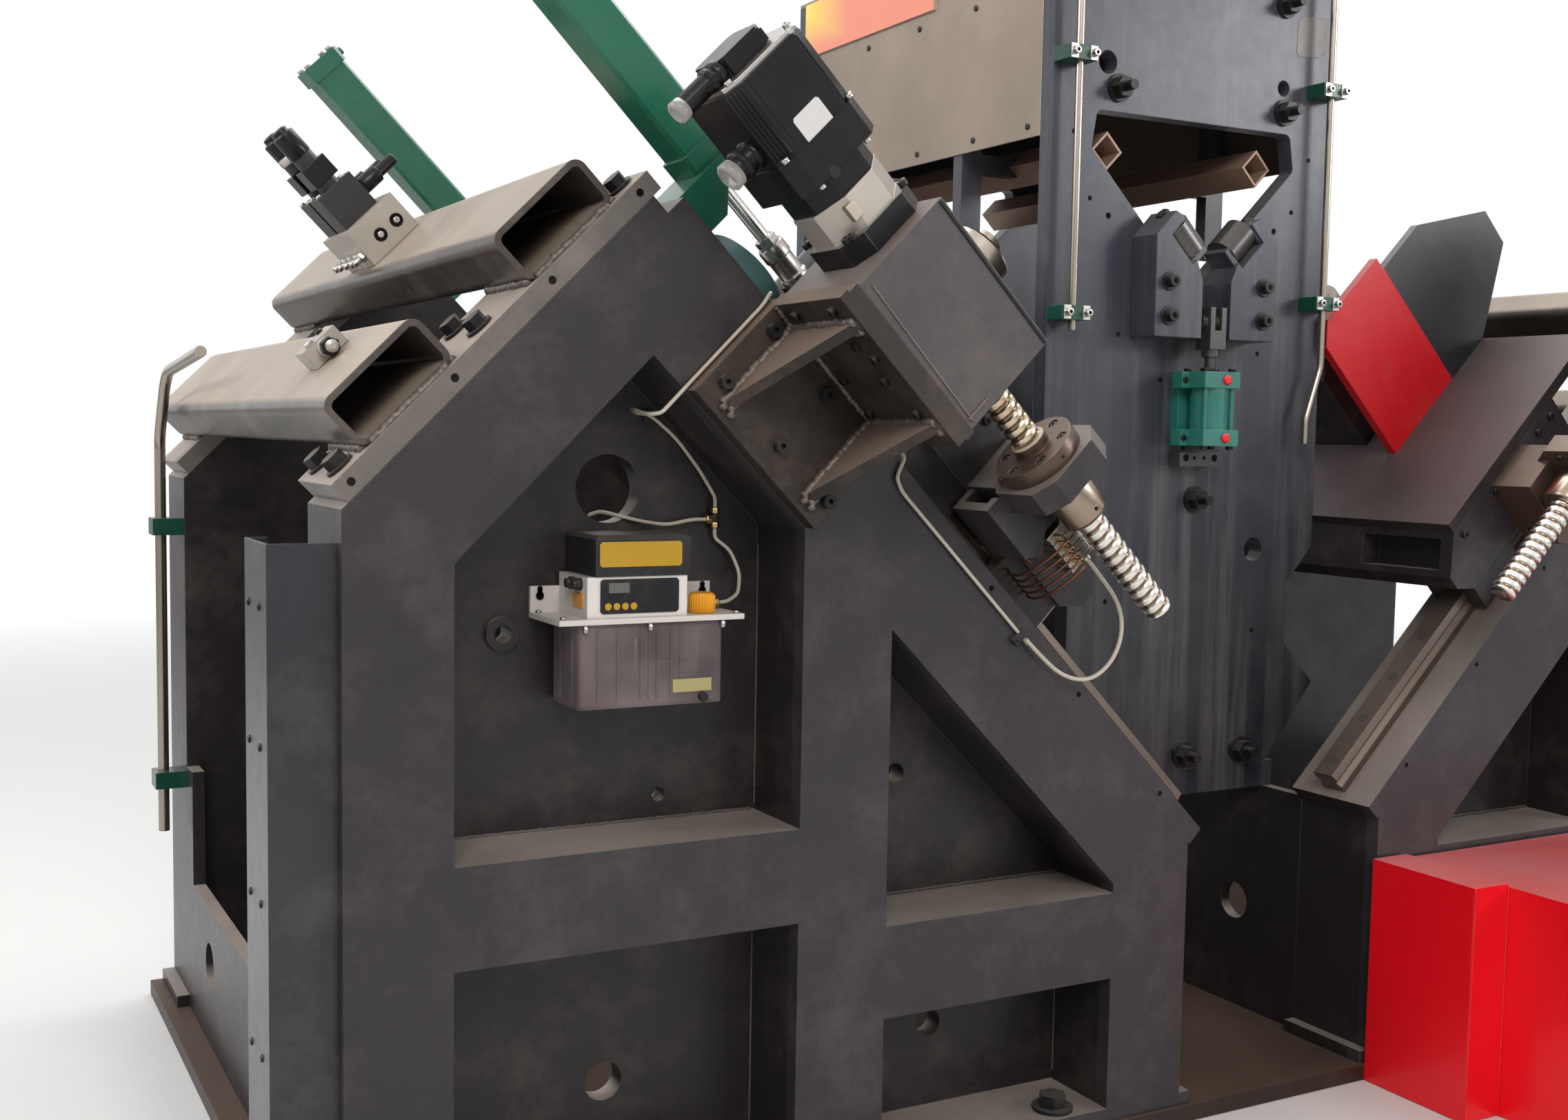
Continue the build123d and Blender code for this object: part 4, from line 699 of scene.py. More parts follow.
def rolled_screw(side, place, hand):
    """Threaded length with a chamfered lower end, and the plain journal in the bearings."""
    shell = Shell(place)
    rows = int((SCREW_END - SCREW_START) / ROW_STEP)
    points = []
    depths = []
    for row in range(rows + 1):
        u = SCREW_START + (SCREW_END - SCREW_START) * row / rows
        chamfer = max(0.0, u - SCREW_END + THREAD_DEPTH)
        for step in range(SCREW_SIDES):
            angle = 2 * pi * step / SCREW_SIDES
            share = thread_share(u, step / SCREW_SIDES, hand)
            radius = SCREW_RADIUS - THREAD_DEPTH * share - chamfer
            depths.append(share)
            points.append((u, AXIS_Y + radius * cos(angle), AXIS_V + radius * sin(angle)))
    faces = ring_faces(rows + 1, SCREW_SIDES) + end_rings(rows + 1, SCREW_SIDES)
    shell.add(points, faces, 0, True)
    shell.lathe((JOURNAL_START, AXIS_Y, AXIS_V), PLUS_X, [(0, 16), (1, 17), (202, 17)])
    made = shell.piece(side + "_rolled_screw", side + "_screw", [screw_finish])
    grooves = made.data.attributes.new("groove", "FLOAT", "POINT")
    for value, depth in zip(grooves.data, depths):
        value.value = depth
    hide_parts(side + "_ball_screw")


for (side, place), hand in zip(UNITS, (1, -1)):
    rolled_screw(side, place, hand)


# Servo motors and gearboxes

MOTOR_BACK = -1735
MOTOR_FLANGE = -1633
MOTOR_HALF = 64
FINS_IN_CORNER = 5
FIN = [(0, 1.6), (1, 2.2), (92, 2.2), (94, 1.6)]
SOCKET_Y = -108
SOCKET_END = 213
SOCKETS = ((-1659, 15, 248, 228), (-1753, 11, 276, 262))


@pieces(EACH_UNIT, [silver, hole_shade_black], 0.5)
def motor_trim(shell):
    """Bright back plate with its screws, and the screws of the flange."""
    half, corner, thick = 60, 44, 6
    back = MOTOR_BACK - thick
    outline = [(half, corner), (half, -corner), (corner, -half), (-corner, -half),
               (-half, -corner), (-half, corner), (-corner, half), (corner, half)]
    shell.plate([(AXIS_Y + y, AXIS_V + v) for y, v in outline], 0, back, MOTOR_BACK)
    for y, v in square(52):
        shell.socket_screw((back, AXIS_Y + y, AXIS_V + v), NEG_X, 5, 5)
    for y, v in square(58.14):
        shell.socket_screw((MOTOR_FLANGE, AXIS_Y + y, AXIS_V + v), NEG_X, 5.5, 6)


def add_fins(shell):
    for y_side, v_side in square(1):
        for step in range(FINS_IN_CORNER):
            slant = 19 * (step + 0.5) / FINS_IN_CORNER
            y = AXIS_Y + y_side * (MOTOR_HALF - slant)
            v = AXIS_V + v_side * (46 + slant)
            shell.lathe((MOTOR_BACK + 4, y, v), PLUS_X, FIN, 0, 10)


def add_raised_panels(shell):
    length = (MOTOR_BACK + 2, MOTOR_FLANGE - 6)
    half, rise = 38, 1.6
    for y_side in (-1, 1):
        face = AXIS_Y + y_side * MOTOR_HALF
        shell.box(length, sorted((face, face + y_side * rise)), (AXIS_V - half, AXIS_V + half))
    top = AXIS_V + MOTOR_HALF
    shell.box(length, (AXIS_Y - half, AXIS_Y + half), (top, top + rise))


def add_encoder_cover(shell):
    wide, narrow = 36.5, 30
    shell.box((-1762, -1742), (AXIS_Y - wide, AXIS_Y + wide), (AXIS_V - narrow, AXIS_V + narrow))
    shell.box((-1758, -1742), (AXIS_Y - narrow, AXIS_Y + narrow), (AXIS_V - wide, AXIS_V + wide))


@pieces(EACH_UNIT, [motor_black], 0.4)
def motor_ribs(shell):
    """Fins at the corners, raised panels, encoder cover and the bodies of the two sockets."""
    add_fins(shell)
    add_raised_panels(shell)
    add_encoder_cover(shell)
    for u, size, seat, nut in SOCKETS:
        shell.lathe((u, SOCKET_Y, seat), NEG_Z,
                    [(0, size + 5), (9, size + 5), (11, size + 2), (30, size + 2), (31, size)], 0, 20)
        shell.lathe((u, SOCKET_Y, nut), NEG_Z,
                    [(0, size + 4), (2, size + 5), (7, size + 5), (9, size + 3)], 0, 12, False)


@pieces(EACH_UNIT, [milky], 0)
def socket_caps(shell):
    for u, size, _, _ in SOCKETS:
        cap = [(0, size + 2.5), (11, size + 3), (13, size + 1), (14, size - 2), (12.5, size - 4)]
        shell.lathe((u, SOCKET_Y, SOCKET_END), NEG_Z, cap, 0, 28)


def cut_corners(across, up, cut=3):
    """Outline of a small plate with cut corners, between two places each way."""
    (a0, a1), (b0, b1) = across, up
    return [(a0, b0 + cut), (a0, b1 - cut), (a0 + cut, b1), (a1 - cut, b1),
            (a1, b1 - cut), (a1, b0 + cut), (a1 - cut, b0), (a0 + cut, b0)]


@pieces(EACH_UNIT, [label_white], 0)
def motor_plate(shell):
    """Blank plate on the motor's front."""
    shell.plate(cut_corners((-1665, -1627), (286, 331)), Y, AXIS_Y - 66.4, AXIS_Y - 65.2)


@pieces(EACH_UNIT, [bolt_black, hole_shade_black, machined, silver], 0.3)
def gear_trim(shell):
    """Plug, clamp slot and screws of the gearbox."""
    shell.lathe((-1587, AXIS_Y - 66, 289), NEG_Y, [(0, 8), (1.6, 7.4)], 0, 20)
    shell.box((-1546, -1524), (AXIS_Y - 59.4, AXIS_Y - 50), (AXIS_V - 34, AXIS_V - 20), 2)
    for y, v in ((-54, -48.6), (54, -48.6), (-54, 48.6), (54, 48.6), (-48.6, -54)):
        shell.socket_screw((-1510, AXIS_Y + y, AXIS_V + v), NEG_X, 6, 8)
    for y, v in square(60, 42):
        shell.socket_screw((-1586, AXIS_Y + y, AXIS_V + v), PLUS_X, 4.5, 5, 3)


# Brackets and bearing boxes: weld beads, socket screws and cover seams

GUSSET_FACES = (-1452, -1438, -1290, -1276)
BRACKET_SCREWS = ((-1415, -141), (-1394, -159), (-1359, -142), (-1363, -51), (-1306, -48), (-1305, -156),
                  (-1470, -60), (-1470, -150))
BRACKET_TOP_V = 181
BOX_TOP_V = 366


@pieces(EACH_UNIT, [weld], 0)
def bracket_welds(shell):
    seed = 1
    for u in GUSSET_FACES:
        shell.bead((u, -27, 46), (u, -27, 179), 5.5, seed)
        shell.bead((u, -27, 180), (u, -178, 180), 5.5, seed + 1)
        shell.bead((u, -28, 44), (u + 7, -28, 44), 5.5, seed + 2)
        seed += 3
    shell.bead((-1486, -27, BRACKET_TOP_V), (-1250, -27, BRACKET_TOP_V), 4, seed)
    shell.bead((-1469, -185.5, 223), (-1256, -185.5, 217), 1.6, seed + 1)
    shell.bead((-1262, -185.5, 250), (-1262, -185.5, 214), 2.0, seed + 2)


@pieces(EACH_UNIT, [bolt_black, hole_shade_black], 0.3)
def bracket_screws(shell):
    """Screws under the bracket's plate, and the cover screws and seam of the bearing box."""
    for u, y in BRACKET_SCREWS:
        shell.socket_screw((u, y, BRACKET_TOP_V), NEG_Z, 7, 7)
    for u in (-1460, -1270, -1365):
        for y in (-20, -165):
            shell.socket_screw((u, y, BOX_TOP_V), PLUS_Z, 6, 5)
    shell.box((-1478, -1252), (-187, -185), (359, 363))


@pieces(EACH_UNIT, [box_paint], 0.8)
def box_end_plate(shell):
    """End plate of the bearing box, with the rim round the screw."""
    shell.box((-1253, -1249), (-182, -3), (214, 341))
    shell.lathe((-1250, AXIS_Y, AXIS_V), PLUS_X, [(0, 31), (2.5, 31), (3, 30), (3, 25), (1, 24)], 0, 36)


# Nut, wiper ring and screws on both carriages

NUT_SCREWS = 6
NUT_CIRCLE = 44
HOUSING_SCREWS = ((-52, -14), (-52, 14), (-14, -52), (14, -52), (-14, 52), (14, 52))
CARRIAGE_SCREWS_U = (-1180, -1140, -1000, -900)


@pieces(EACH_UNIT, [bolt_black, hole_shade_black], 0.2, "{}carriage")
def nut_screws(shell):
    """Screws of the nut's flange, and its grease hole."""
    for step in range(NUT_SCREWS):
        angle = 2 * pi * (step + 0.5) / NUT_SCREWS
        y = AXIS_Y + NUT_CIRCLE * cos(angle)
        v = AXIS_V + NUT_CIRCLE * sin(angle)
        shell.socket_screw((-1113, y, v), NEG_X, 5.6, 6)
    shell.socket_screw((-1108, AXIS_Y - 56.6, AXIS_V - 4), NEG_Y, 2.6, 0.6)


@pieces(EACH_UNIT, [cream_plastic], 0, "{}carriage")
def wiper_ring(shell):
    shell.lathe((-1134.5, AXIS_Y, AXIS_V), PLUS_X, [(0, 20.6), (0, 23), (1.4, 24.2), (2, 24.2)], 0, 36)


@pieces(EACH_UNIT, [sleeve_steel, hole_shade_black], 0, "{}carriage")
def nut_sleeve(shell):
    """Turned barrel of the nut below its housing, with a hole drawn as a dark disc: painted shade."""
    barrel = [(0, 34.5), (2, 35.2), (60, 35.2), (64.5, 33), (65, 24)]
    shell.lathe((-1059.5, AXIS_Y, AXIS_V), PLUS_X, barrel, 0, 48)
    shell.disc((-1008, AXIS_Y - 35.1, AXIS_V), NEG_Y, 3, 1, 14, -0.5, 0.3)


@pieces(EACH_UNIT, [bolt_black, hole_shade_black], 0.2, "{}carriage")
def housing_screws(shell):
    """Screws of the nut's housing and of the carriage."""
    for y, v in HOUSING_SCREWS:
        shell.socket_screw((-1060, AXIS_Y + y, AXIS_V + v), PLUS_X, 5, 5)
    for u in CARRIAGE_SCREWS_U:
        shell.socket_screw((u, 25, 338), NEG_Y, 6.5, 6)


# Lubricant distributor on the left carriage: block slices, brass fittings and copper tubes

SLICE_U = [-984 + 11.5 * step for step in range(5)]


@pieces(LEFT, [silver], 0.6, "left_carriage")
def distributor_slices(shell):
    """Slices with an outlet on top, and the two end blocks."""
    for u in SLICE_U:
        shell.box((u - 4.6, u + 4.6), (-54, -22), (262, 306))
        shell.lathe((u, -38, 304), PLUS_Z, [(0, 4.6), (8, 4.6), (8, 3.2), (19, 3.2)], 0, 12)
    for ends in ((-994, -989.5), (-934, -928)):
        shell.box(ends, (-55, -20), (260, 308))


@pieces(LEFT, [brass], 0.3, "left_carriage")
def distributor_fittings(shell):
    for u in SLICE_U:
        shell.hexagon((u, -54, 275), NEG_Y, 8.5, 7)
        shell.lathe((u, -60, 275), NEG_Y, [(0, 3.2), (9, 3.2), (10, 2.2)], 0, 12)
        shell.hexagon((u, -38, 306), PLUS_Z, 8, 5)
    shell.hexagon((-930, -40, 297), PLUS_X, 10, 8)


@pieces(LEFT, [copper], 0, "left_carriage")
def copper_tubes(shell):
    """A tube from each slice into the carriage, and one along it to the nut."""
    radius, sides = 2.0, 8
    for u in SLICE_U:
        route = [(u, -66, 275), (u - 1, -77, 272), (u - 1, -83, 262), (u + 2, -72, 240), (u + 8, -46, 220),
                 (u + 14, -18, 212), (u + 20, 12, 216), (u + 22, 30, 226)]
        shell.tube(smooth_path(route, 6), radius, 0, sides)
    route = [(-1100, -50, 262), (-1094, -22, 276), (-1086, 6, 280), (-1080, 18, 268), (-1064, 20, 257),
             (-1038, 20, 253), (-1005, 20, 252), (-972, 19, 248), (-952, 12, 252), (-944, 26, 258)]
    shell.tube(smooth_path(route, 8), radius, 0, sides)


# White hose from the distributor to the clip

HOSE = [(-916, -40, 297), (-878, -40, 297), (-832, -47, 290), (-793, -41, 268), (-772, -33, 230),
        (-777, -24, 190), (-812, -16, 167), (-858, -12, 163), (-894, -12, 162)]


def white_hose():
    curve = bpy.data.curves.new("white_hose", "CURVE")
    curve.dimensions = "3D"
    curve.bevel_depth = 0.003
    curve.bevel_resolution = 4
    curve.resolution_u = 10
    curve.use_fill_caps = True
    spline = curve.splines.new("NURBS")
    spline.points.add(len(HOSE) - 1)
    for point, control in zip(spline.points, HOSE):
        point.co = tuple(left(*control)) + (1,)
    spline.order_u = 3
    spline.use_endpoint_u = True
    hose = bpy.data.objects.new("white_hose", curve)
    bpy.context.scene.collection.objects.link(hose)
    curve.materials.append(hose_nylon)
    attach(hose, "left_carriage")
    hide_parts("grease_hose")


white_hose()


# Welds and small holes of the frames, on both units, front and rear

PAD_FACE = -1712
RAIL_SCREWS = 11
RAIL_SCREW_PITCH = 92
SEAM_UPRIGHTS = ((-861, 520, 875), (-861, 60, 380), (-727, 60, 236), (-339, 60, 236))


@pieces(FRAMES, [weld], 0)
def tube_welds(shell):
    """Beads round the ends of both cross tubes."""
    seed = 40
    for low in TUBE_LOW_V:
        high = low + TUBE_WIDTH
        shell.bead((PAD_FACE, 9, low + 12), (PAD_FACE, 9, high - 12), 6, seed)
        shell.bead((PAD_FACE, 12, low + 3), (PAD_FACE, 160, low + 3), 6, seed + 1)
        shell.bead((PAD_FACE, 12, high - 3), (PAD_FACE, 160, high - 3), 6, seed + 2)
        seed += 3


@pieces(FRAMES, [hole_shade_black, bolt_black], 0)
def tapped_holes(shell):
    """Small holes along the frame's edges, drawn as dark discs of painted shade, and the screw holes of the
    rail, as discs in the bolts' black.
    """
    for v in (-337, -170, -5, 150):
        shell.disc((-1698, -0.2, v), NEG_Y, 5)
    for u in (-1420, -1200, -980, -760, -540):
        shell.disc((u, -0.2, 176), NEG_Y, 4, 0, 12)
    for step in range(RAIL_SCREWS):
        shell.disc((-1405 + RAIL_SCREW_PITCH * step, 82.5, 230), PLUS_Z, 8.5, 1, 20, -0.5, 0.15)


def frame_place(sign, front):
    """Puts the places of the left front frame on one of the four frames."""
    return lambda x, y, z: xyz(sign * x, y if front else UNIT_DEPTH - y, z)


MIRRORED_FRAMES = {side + end: frame_place(sign, front) for end, front in (("front_", True), ("rear_", False))
                   for side, sign in (("left_", 1), ("right_", -1))}


@pieces(MIRRORED_FRAMES, [seam], 0)
def frame_seams(shell):
    """Welded seams in the corners of the frame's recesses."""
    for step, (x, low, high) in enumerate(SEAM_UPRIGHTS):
        shell.bead((x, 129.5, low), (x, 129.5, high), 1.8, 70 + step)
    shell.bead((-1315, 130, 514), (-866, 130, 514), 2.4, 81)
    shell.bead((-722, 130, 369), (-345, 130, 369), 2.4, 82)


# Balance cylinders: ports, end screws and the rods' ends

PORT = [(0, 10), (6, 10), (6, 7), (14, 7)]
COUPLING = [(0, 18.5), (4, 19.5), (20, 19.5), (22, 17.5), (50, 17.5), (52, 20), (62, 20), (66, 18)]


@pieces(RODS, [green_paint], 0.5, name="balance_{}ports")
def balance_ports(shell):
    for u in (-2016, -1654):
        shell.lathe((u, BALANCE_Y, BALANCE_V + 34), PLUS_Z, PORT, 0, 20)


@pieces(RODS, [silver, hole_shade_black], 0.3, name="balance_{}screws")
def balance_screws(shell):
    for y, v in square(25):
        shell.socket_screw((-2030, BALANCE_Y + y, BALANCE_V + v), NEG_X, 6, 6)


@pieces(RODS, [silver], 0.4, "left_carriage", name="rod_{}coupling")
def rod_coupling(shell):
    shell.hexagon((-1512, BALANCE_Y, BALANCE_V), PLUS_X, 27, 12)
    shell.lathe((-1500, BALANCE_Y, BALANCE_V), PLUS_X, COUPLING, 0, 28)


@pieces(RODS, [bolt_black], 0.8, "left_carriage", name="rod_{}clevis")
def rod_clevis(shell):
    shell.box((-1440, -1396), (BALANCE_Y - 18, BALANCE_Y + 18), (BALANCE_V - 19, BALANCE_V + 19))
    shell.lathe((-1418, BALANCE_Y - 22, BALANCE_V), PLUS_Y, [(0, 9), (44, 9)], 0, 18)


# Round cover at the bed's end and junction block

@pieces(LEFT, [bolt_black, teal_paint], 0.5)
def cover_bolt(shell):
    """Bolt and lug of the round cover, and its raised rim."""
    shell.lathe((-1500, 64.5, 212), PLUS_Z, [(0, 13), (3, 13), (3, 10), (14, 10), (15, 9)], 0, 20)
    shell.box((-1543, -1512), (60, 80), (212, 224))
    shell.lathe((-1516, 82.5, 224), PLUS_Z, [(-0.5, 60), (0.4, 60), (0.5, 57), (0.2, 56)], 1, 48)


@pieces(LEFT, [bolt_black, silver, hole_shade_black], 0.4)
def junction_fittings(shell):
    shell.hexagon((-1794, 190, -211), NEG_Y, 22, 9)
    shell.lathe((-1794, 181, -211), NEG_Y, [(0, 8), (8, 8), (8, 5), (10, 5)], 1, 18)
    shell.hexagon((-1807, 216, -222), NEG_X, 13, 5, 1)
    shell.socket_screw((-1807, 240, -198), NEG_X, 5, 4, 0, 2)


# Valves on the upper tube

VALVE_SEAT = -1781
VALVES_Y = (600, 660)
COIL = [(0, 14), (4, 17), (40, 17), (42, 12), (48, 12), (50, 6)]
CARTRIDGE = [(0, 13), (30, 13), (31, 9), (62, 9), (64, 6)]


@pieces(LEFT, [motor_black], 0.8)
def valve_coils(shell):
    """Coils on the valves' ends, the blocks below them and the cartridges beside them."""
    for y in VALVES_Y:
        shell.lathe((VALVE_SEAT - 172, y, 33), NEG_X, COIL)
        shell.box((VALVE_SEAT - 160, VALVE_SEAT - 128), (y - 19, y + 19), (12, 54))
        shell.lathe((VALVE_SEAT - 88, y, 70), PLUS_Z, CARTRIDGE, 0, 20)


@pieces(LEFT, [silver, hole_shade_black], 0.4)
def valve_fittings(shell):
    """Screws of the valves, fittings along the manifold and plugs on its end, each plug in a dark ring of
    painted shade.
    """
    for y in (580, 620, 640, 680):
        for v in (5, 50):
            shell.socket_screw((VALVE_SEAT - 118, y, v), NEG_X, 4.5, 4)
    for y in (574, 596, 630, 664, 688):
        shell.hexagon((VALVE_SEAT - 20, y, -7), NEG_Z, 15, 7)
        shell.lathe((VALVE_SEAT - 20, y, -14), NEG_Z, [(0, 5.5), (12, 5.5), (13, 4)], 0, 14)
    for v in (30, 62):
        shell.lathe((VALVE_SEAT - 26, 560.5, v), NEG_Y, [(0, 10), (1.2, 10), (1.4, 8.5)], 1, 24)
        shell.lathe((VALVE_SEAT - 26, 560, v), NEG_Y, [(0, 5), (2.4, 5), (2.6, 4)], 0, 6)
    shell.lathe((VALVE_SEAT - 176, 630, 33), NEG_X, [(0, 22), (10, 24), (12, 20)], 0, 28)


# Tower

CLAMPS = ((-263, 1612), (-263, 1217), (270, 1612), (270, 1257))
BUTTON = [(-0.2, 5.5), (1.6, 5.2), (2.2, 4)]
PORT_LEVELS = (1027, 1120)
CYLINDER_TOP, CYLINDER_FLOOR = 1133, 1014
BARE_SPOT = [(213, 1676), (219, 1669), (262, 1672), (281, 1682),
             (280, 1734), (274, 1739), (222, 1736), (215, 1728)]
TOWER_HOLES = ((-232, 1800), (60, 1830), (-215, 1400), (215, 1410), (-150, 1190), (150, 1170), (-60, 1120),
               (95, 1080), (-250, 1500), (250, 1500), (-160, 760), (160, 700))


@pieces(ROW, [silver, hole_shade_black, bolt_black], 0.2)
def tower_screws(shell):
    """Screws and washers of the line clamps, and the button heads of the side sheets."""
    for x, z in CLAMPS:
        for middle in (x - 21, x + 16):
            shell.box((middle - 7, middle + 7), (215.5, 217.5), (z - 11, z + 11))
            shell.socket_screw((middle, 216, z), NEG_Y, 6, 9)
    for y in (320, 470, 640, 810, 980):
        for z in (SHEET_LOW + 18, SHEET_LOW + 232):
            shell.lathe((-TOWER_SIDE, y, z), NEG_X, BUTTON, 2, 16)
            shell.lathe((TOWER_SIDE, y, z), PLUS_X, BUTTON, 2, 16)


@pieces(ROW, [sign_finish], 0.2)
def sign_face(shell):
    """Blank face of the sign board."""
    shell.box((SIGN_SIDE - 1.2, SIGN_SIDE), (590.5, 1040.5), (TOWER_TOP - 101.5, TOWER_TOP - 0.5))


@pieces(ROW, [hole_shade_black], 0)
def port_holes(shell):
    """Holes in the foot of the clamp cylinder, drawn as dark discs: painted shade."""
    for x, radius in ((-24, 6), (-6, 3.2), (15, 3.2), (37, 6)):
        shell.disc((x, 229, 994), NEG_Y, radius, 0, 16, -0.3, 0.2)


@pieces(ROW, [red_paint], 0)
def port_plugs(shell):
    for z in PORT_LEVELS:
        shell.lathe((9, CYLINDER_FRONT + 0.5, z), NEG_Y, [(-1, 8), (3, 8), (5, 5)], 0, 18)


@pieces(ROW, [bolt_black], 0.3)
def cylinder_nuts(shell):
    """Nuts of the tie rods, side screws and the rod's gland."""
    for side in (-1, 1):
        for y in (186, 228):
            shell.hexagon((side * 28, y, CYLINDER_TOP), PLUS_Z, 11, 6)
            shell.hexagon((side * 28, y, CYLINDER_FLOOR), NEG_Z, 11, 6)
        for z in PORT_LEVELS:
            shell.lathe((side * 44, 215, z), NEG_Y, [(0, 6), (2, 6), (3, 4)], 0, 6, False)
    shell.lathe((0, 207, CYLINDER_TOP), PLUS_Z, [(0, 15), (6, 15), (7, 13)])


@pieces(ROW, [bolt_black, hole_shade_black], 0.3)
def bracket_bolts(shell):
    """Bolts of the roller brackets and the nuts of the rollers' pins."""
    for side in (-1, 1):
        for z in (1219, 1273):
            shell.lathe((side * 100, BRACKET_FRONT, z), NEG_Y, [(-0.5, 15), (2.5, 15), (3, 14)], 0, 28)
            shell.socket_screw((side * 100, BRACKET_FRONT - 3, z), NEG_Y, 10, 13)
        shell.hexagon((side * 86, 227, 1375), (side, 0, 1), 20, 12)


@pieces(ROW, [pad_steel], 0)
def worn_patch(shell):
    shell.plate(BARE_SPOT, Y, TOWER_FRONT - 0.5, TOWER_FRONT + 0.3)


# Tapped holes of the tower plate, drawn as dark discs: painted shade
@pieces(ROW, [hole_shade_black], 0)
def tower_tapped_holes(shell):
    for x, z in TOWER_HOLES:
        shell.disc((x, TOWER_FRONT - 0.2, z), NEG_Y, 4, 0, 14)


# Cover channel

@pieces(ROW, [bolt_black], 0)
def channel_rivets(shell):
    for z in (120, 300, 480, 660, 820):
        for y in (60, 120):
            shell.lathe((CHANNEL_SIDE, y, z), NEG_X, [(-0.2, 5), (1.4, 4.6), (2.4, 3)], 0, 14)


# Lubricator; its head and its tank have places of their own, from their left, front and lowest side

CAP_X, CAP_Y = -981, 52
CAP_RIBS = 26
TANK_DEEP = TANK_HIGH - TANK_LOW
LABEL_START = 125
TUBE_X = 93


def on_head(x, y, z):
    return xyz(HEAD_LEFT + x, HEAD_FRONT + y, HEAD_LOW + z)


def on_tank(x, y, z):
    return xyz(TANK_LEFT + x, TANK_FRONT + y, TANK_LOW + z)


HEAD = {"": on_head}
TANK = {"": on_tank}


@pieces(HEAD, [yellow_plastic], 0.3)
def pump_yellow_parts(shell):
    """Blank plate of the head and its four round keys."""
    shell.plate(cut_corners((15, 125), (63, 94)), Y, -1.6, 0.2)
    for step in range(4):
        shell.lathe((26.5 + 11.3 * step, 0.2, 14.5), NEG_Y, [(0, 4.6), (1.4, 4.6), (2, 3.8)], 0, 18)


@pieces(HEAD, [panel_black, display_grey], 0.3)
def pump_key_panel(shell):
    """Black key panel with its grey display, and the two sockets on the left."""
    shell.plate(cut_corners((17, 122), (5.5, 48)), Y, 0.2, 2.2)
    shell.box((27.5, 55), (-0.4, 0.4), (31, 43.5), 1)
    for y in (24, 46):
        shell.lathe((0.5, y, 41), NEG_X, [(0, 8), (7, 8), (8, 6), (12, 6)], 0, 20)


@pieces(HEAD, [label_white, panel_black], 0)
def pump_gauge(shell):
    shell.lathe((143, 64, 54), NEG_Y, [(0, 10), (4, 13), (14, 13), (16, 12), (15, 11)], 1, 32)
    shell.disc((143, 48.9, 54), NEG_Y, 10.8, 0, 32, 0, 0.4)


@pieces(HEAD, [orange_plastic], 0)
def pump_small_label(shell):
    shell.box((-1, 0.4), (16, 48), (12, 30))


def ribbed_cap():
    """Filler cap with ribs to grip it by."""
    shell = Shell()
    low = HEAD_LOW + 0.3
    shell.lathe((CAP_X, CAP_Y, low), PLUS_Z, [(0, 15.6), (22, 16), (25, 14.6), (26, 11)], 0, 48)
    for step in range(CAP_RIBS):
        angle = 2 * pi * step / CAP_RIBS
        x = CAP_X + 15.9 * cos(angle)
        y = CAP_Y + 15.9 * sin(angle)
        shell.lathe((x, y, low + 0.5), PLUS_Z, [(0, 1.1), (20, 1.4), (22.5, 0.8)], 0, 8)
    cap = shell.piece("ribbed_cap", "pump_cap", [orange_plastic], 0.4)
    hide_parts("pump_cap")


ribbed_cap()


@pieces(TANK, [smoky], 0)
def tank_ribs(shell):
    """Ribs moulded on the tank; those above the label end over it."""
    top = TANK_DEEP - 5
    for x in (25, 51, 82, 93, 104, 123, 136):
        shell.box((x - 1.2, x + 1.2), (-1.4, 0), (8 if x < LABEL_START else 34, top))
    for y in (22, 62):
        shell.box((-1.4, 0), (y - 1.2, y + 1.2), (8, top))


@pieces(TANK, [oil_brown], 0)
def tank_oil(shell):
    """Oil on the tank's floor and in its left well."""
    shell.box((5, TANK_RIGHT - TANK_LEFT - 5), (6, 85), (3.5, 15))
    shell.box((4, 25), (10, 36), (15, TANK_DEEP - 8))


@pieces(TANK, [milky], 0)
def tank_strainer(shell):
    """Strainer below the filler cap, and the guide of the float."""
    shell.lathe((165, 40, 34), PLUS_Z, [(0, 13), (1, 14), (60, 14), (62, 10), (70, 10)], 0, 28)
    shell.box((90, 98), (6, 14), (18, TANK_DEEP - 3))


@pieces(TANK, [brass], 0)
def tank_inner(shell):
    """Brass fitting, thin rod and suction tube inside the tank."""
    shell.lathe((TUBE_X, 8, 53), NEG_Y, [(0, 5), (3, 5.4), (4, 4.4)], 0, 20)
    shell.lathe((TUBE_X, 15, 53), PLUS_X, [(0, 1.6), (60, 1.6)], 0, 10)
    shell.lathe((TUBE_X - 6, 30, 18), PLUS_Z, [(0, 5), (86, 5)], 0, 16)


@pieces(TANK, [gold_label], 0)
def tank_plain_label(shell):
    shell.box((LABEL_START, LABEL_START + 54), (-1.1, -0.1), (15, 32))


@pieces(TANK, [silver, panel_black], 0)
def tank_screws(shell):
    """Drain plug, and the screws that hold the tank under the lid."""
    shell.lathe((167, 0, 8), NEG_Y, [(0, 6), (5, 6), (6, 5)], 1, 20)
    for x in (7, TUBE_X, 193):
        shell.lathe((x, -3, TANK_DEEP), NEG_Z, [(0, 3.4), (9, 3.4), (10, 2.4)], 0, 14)


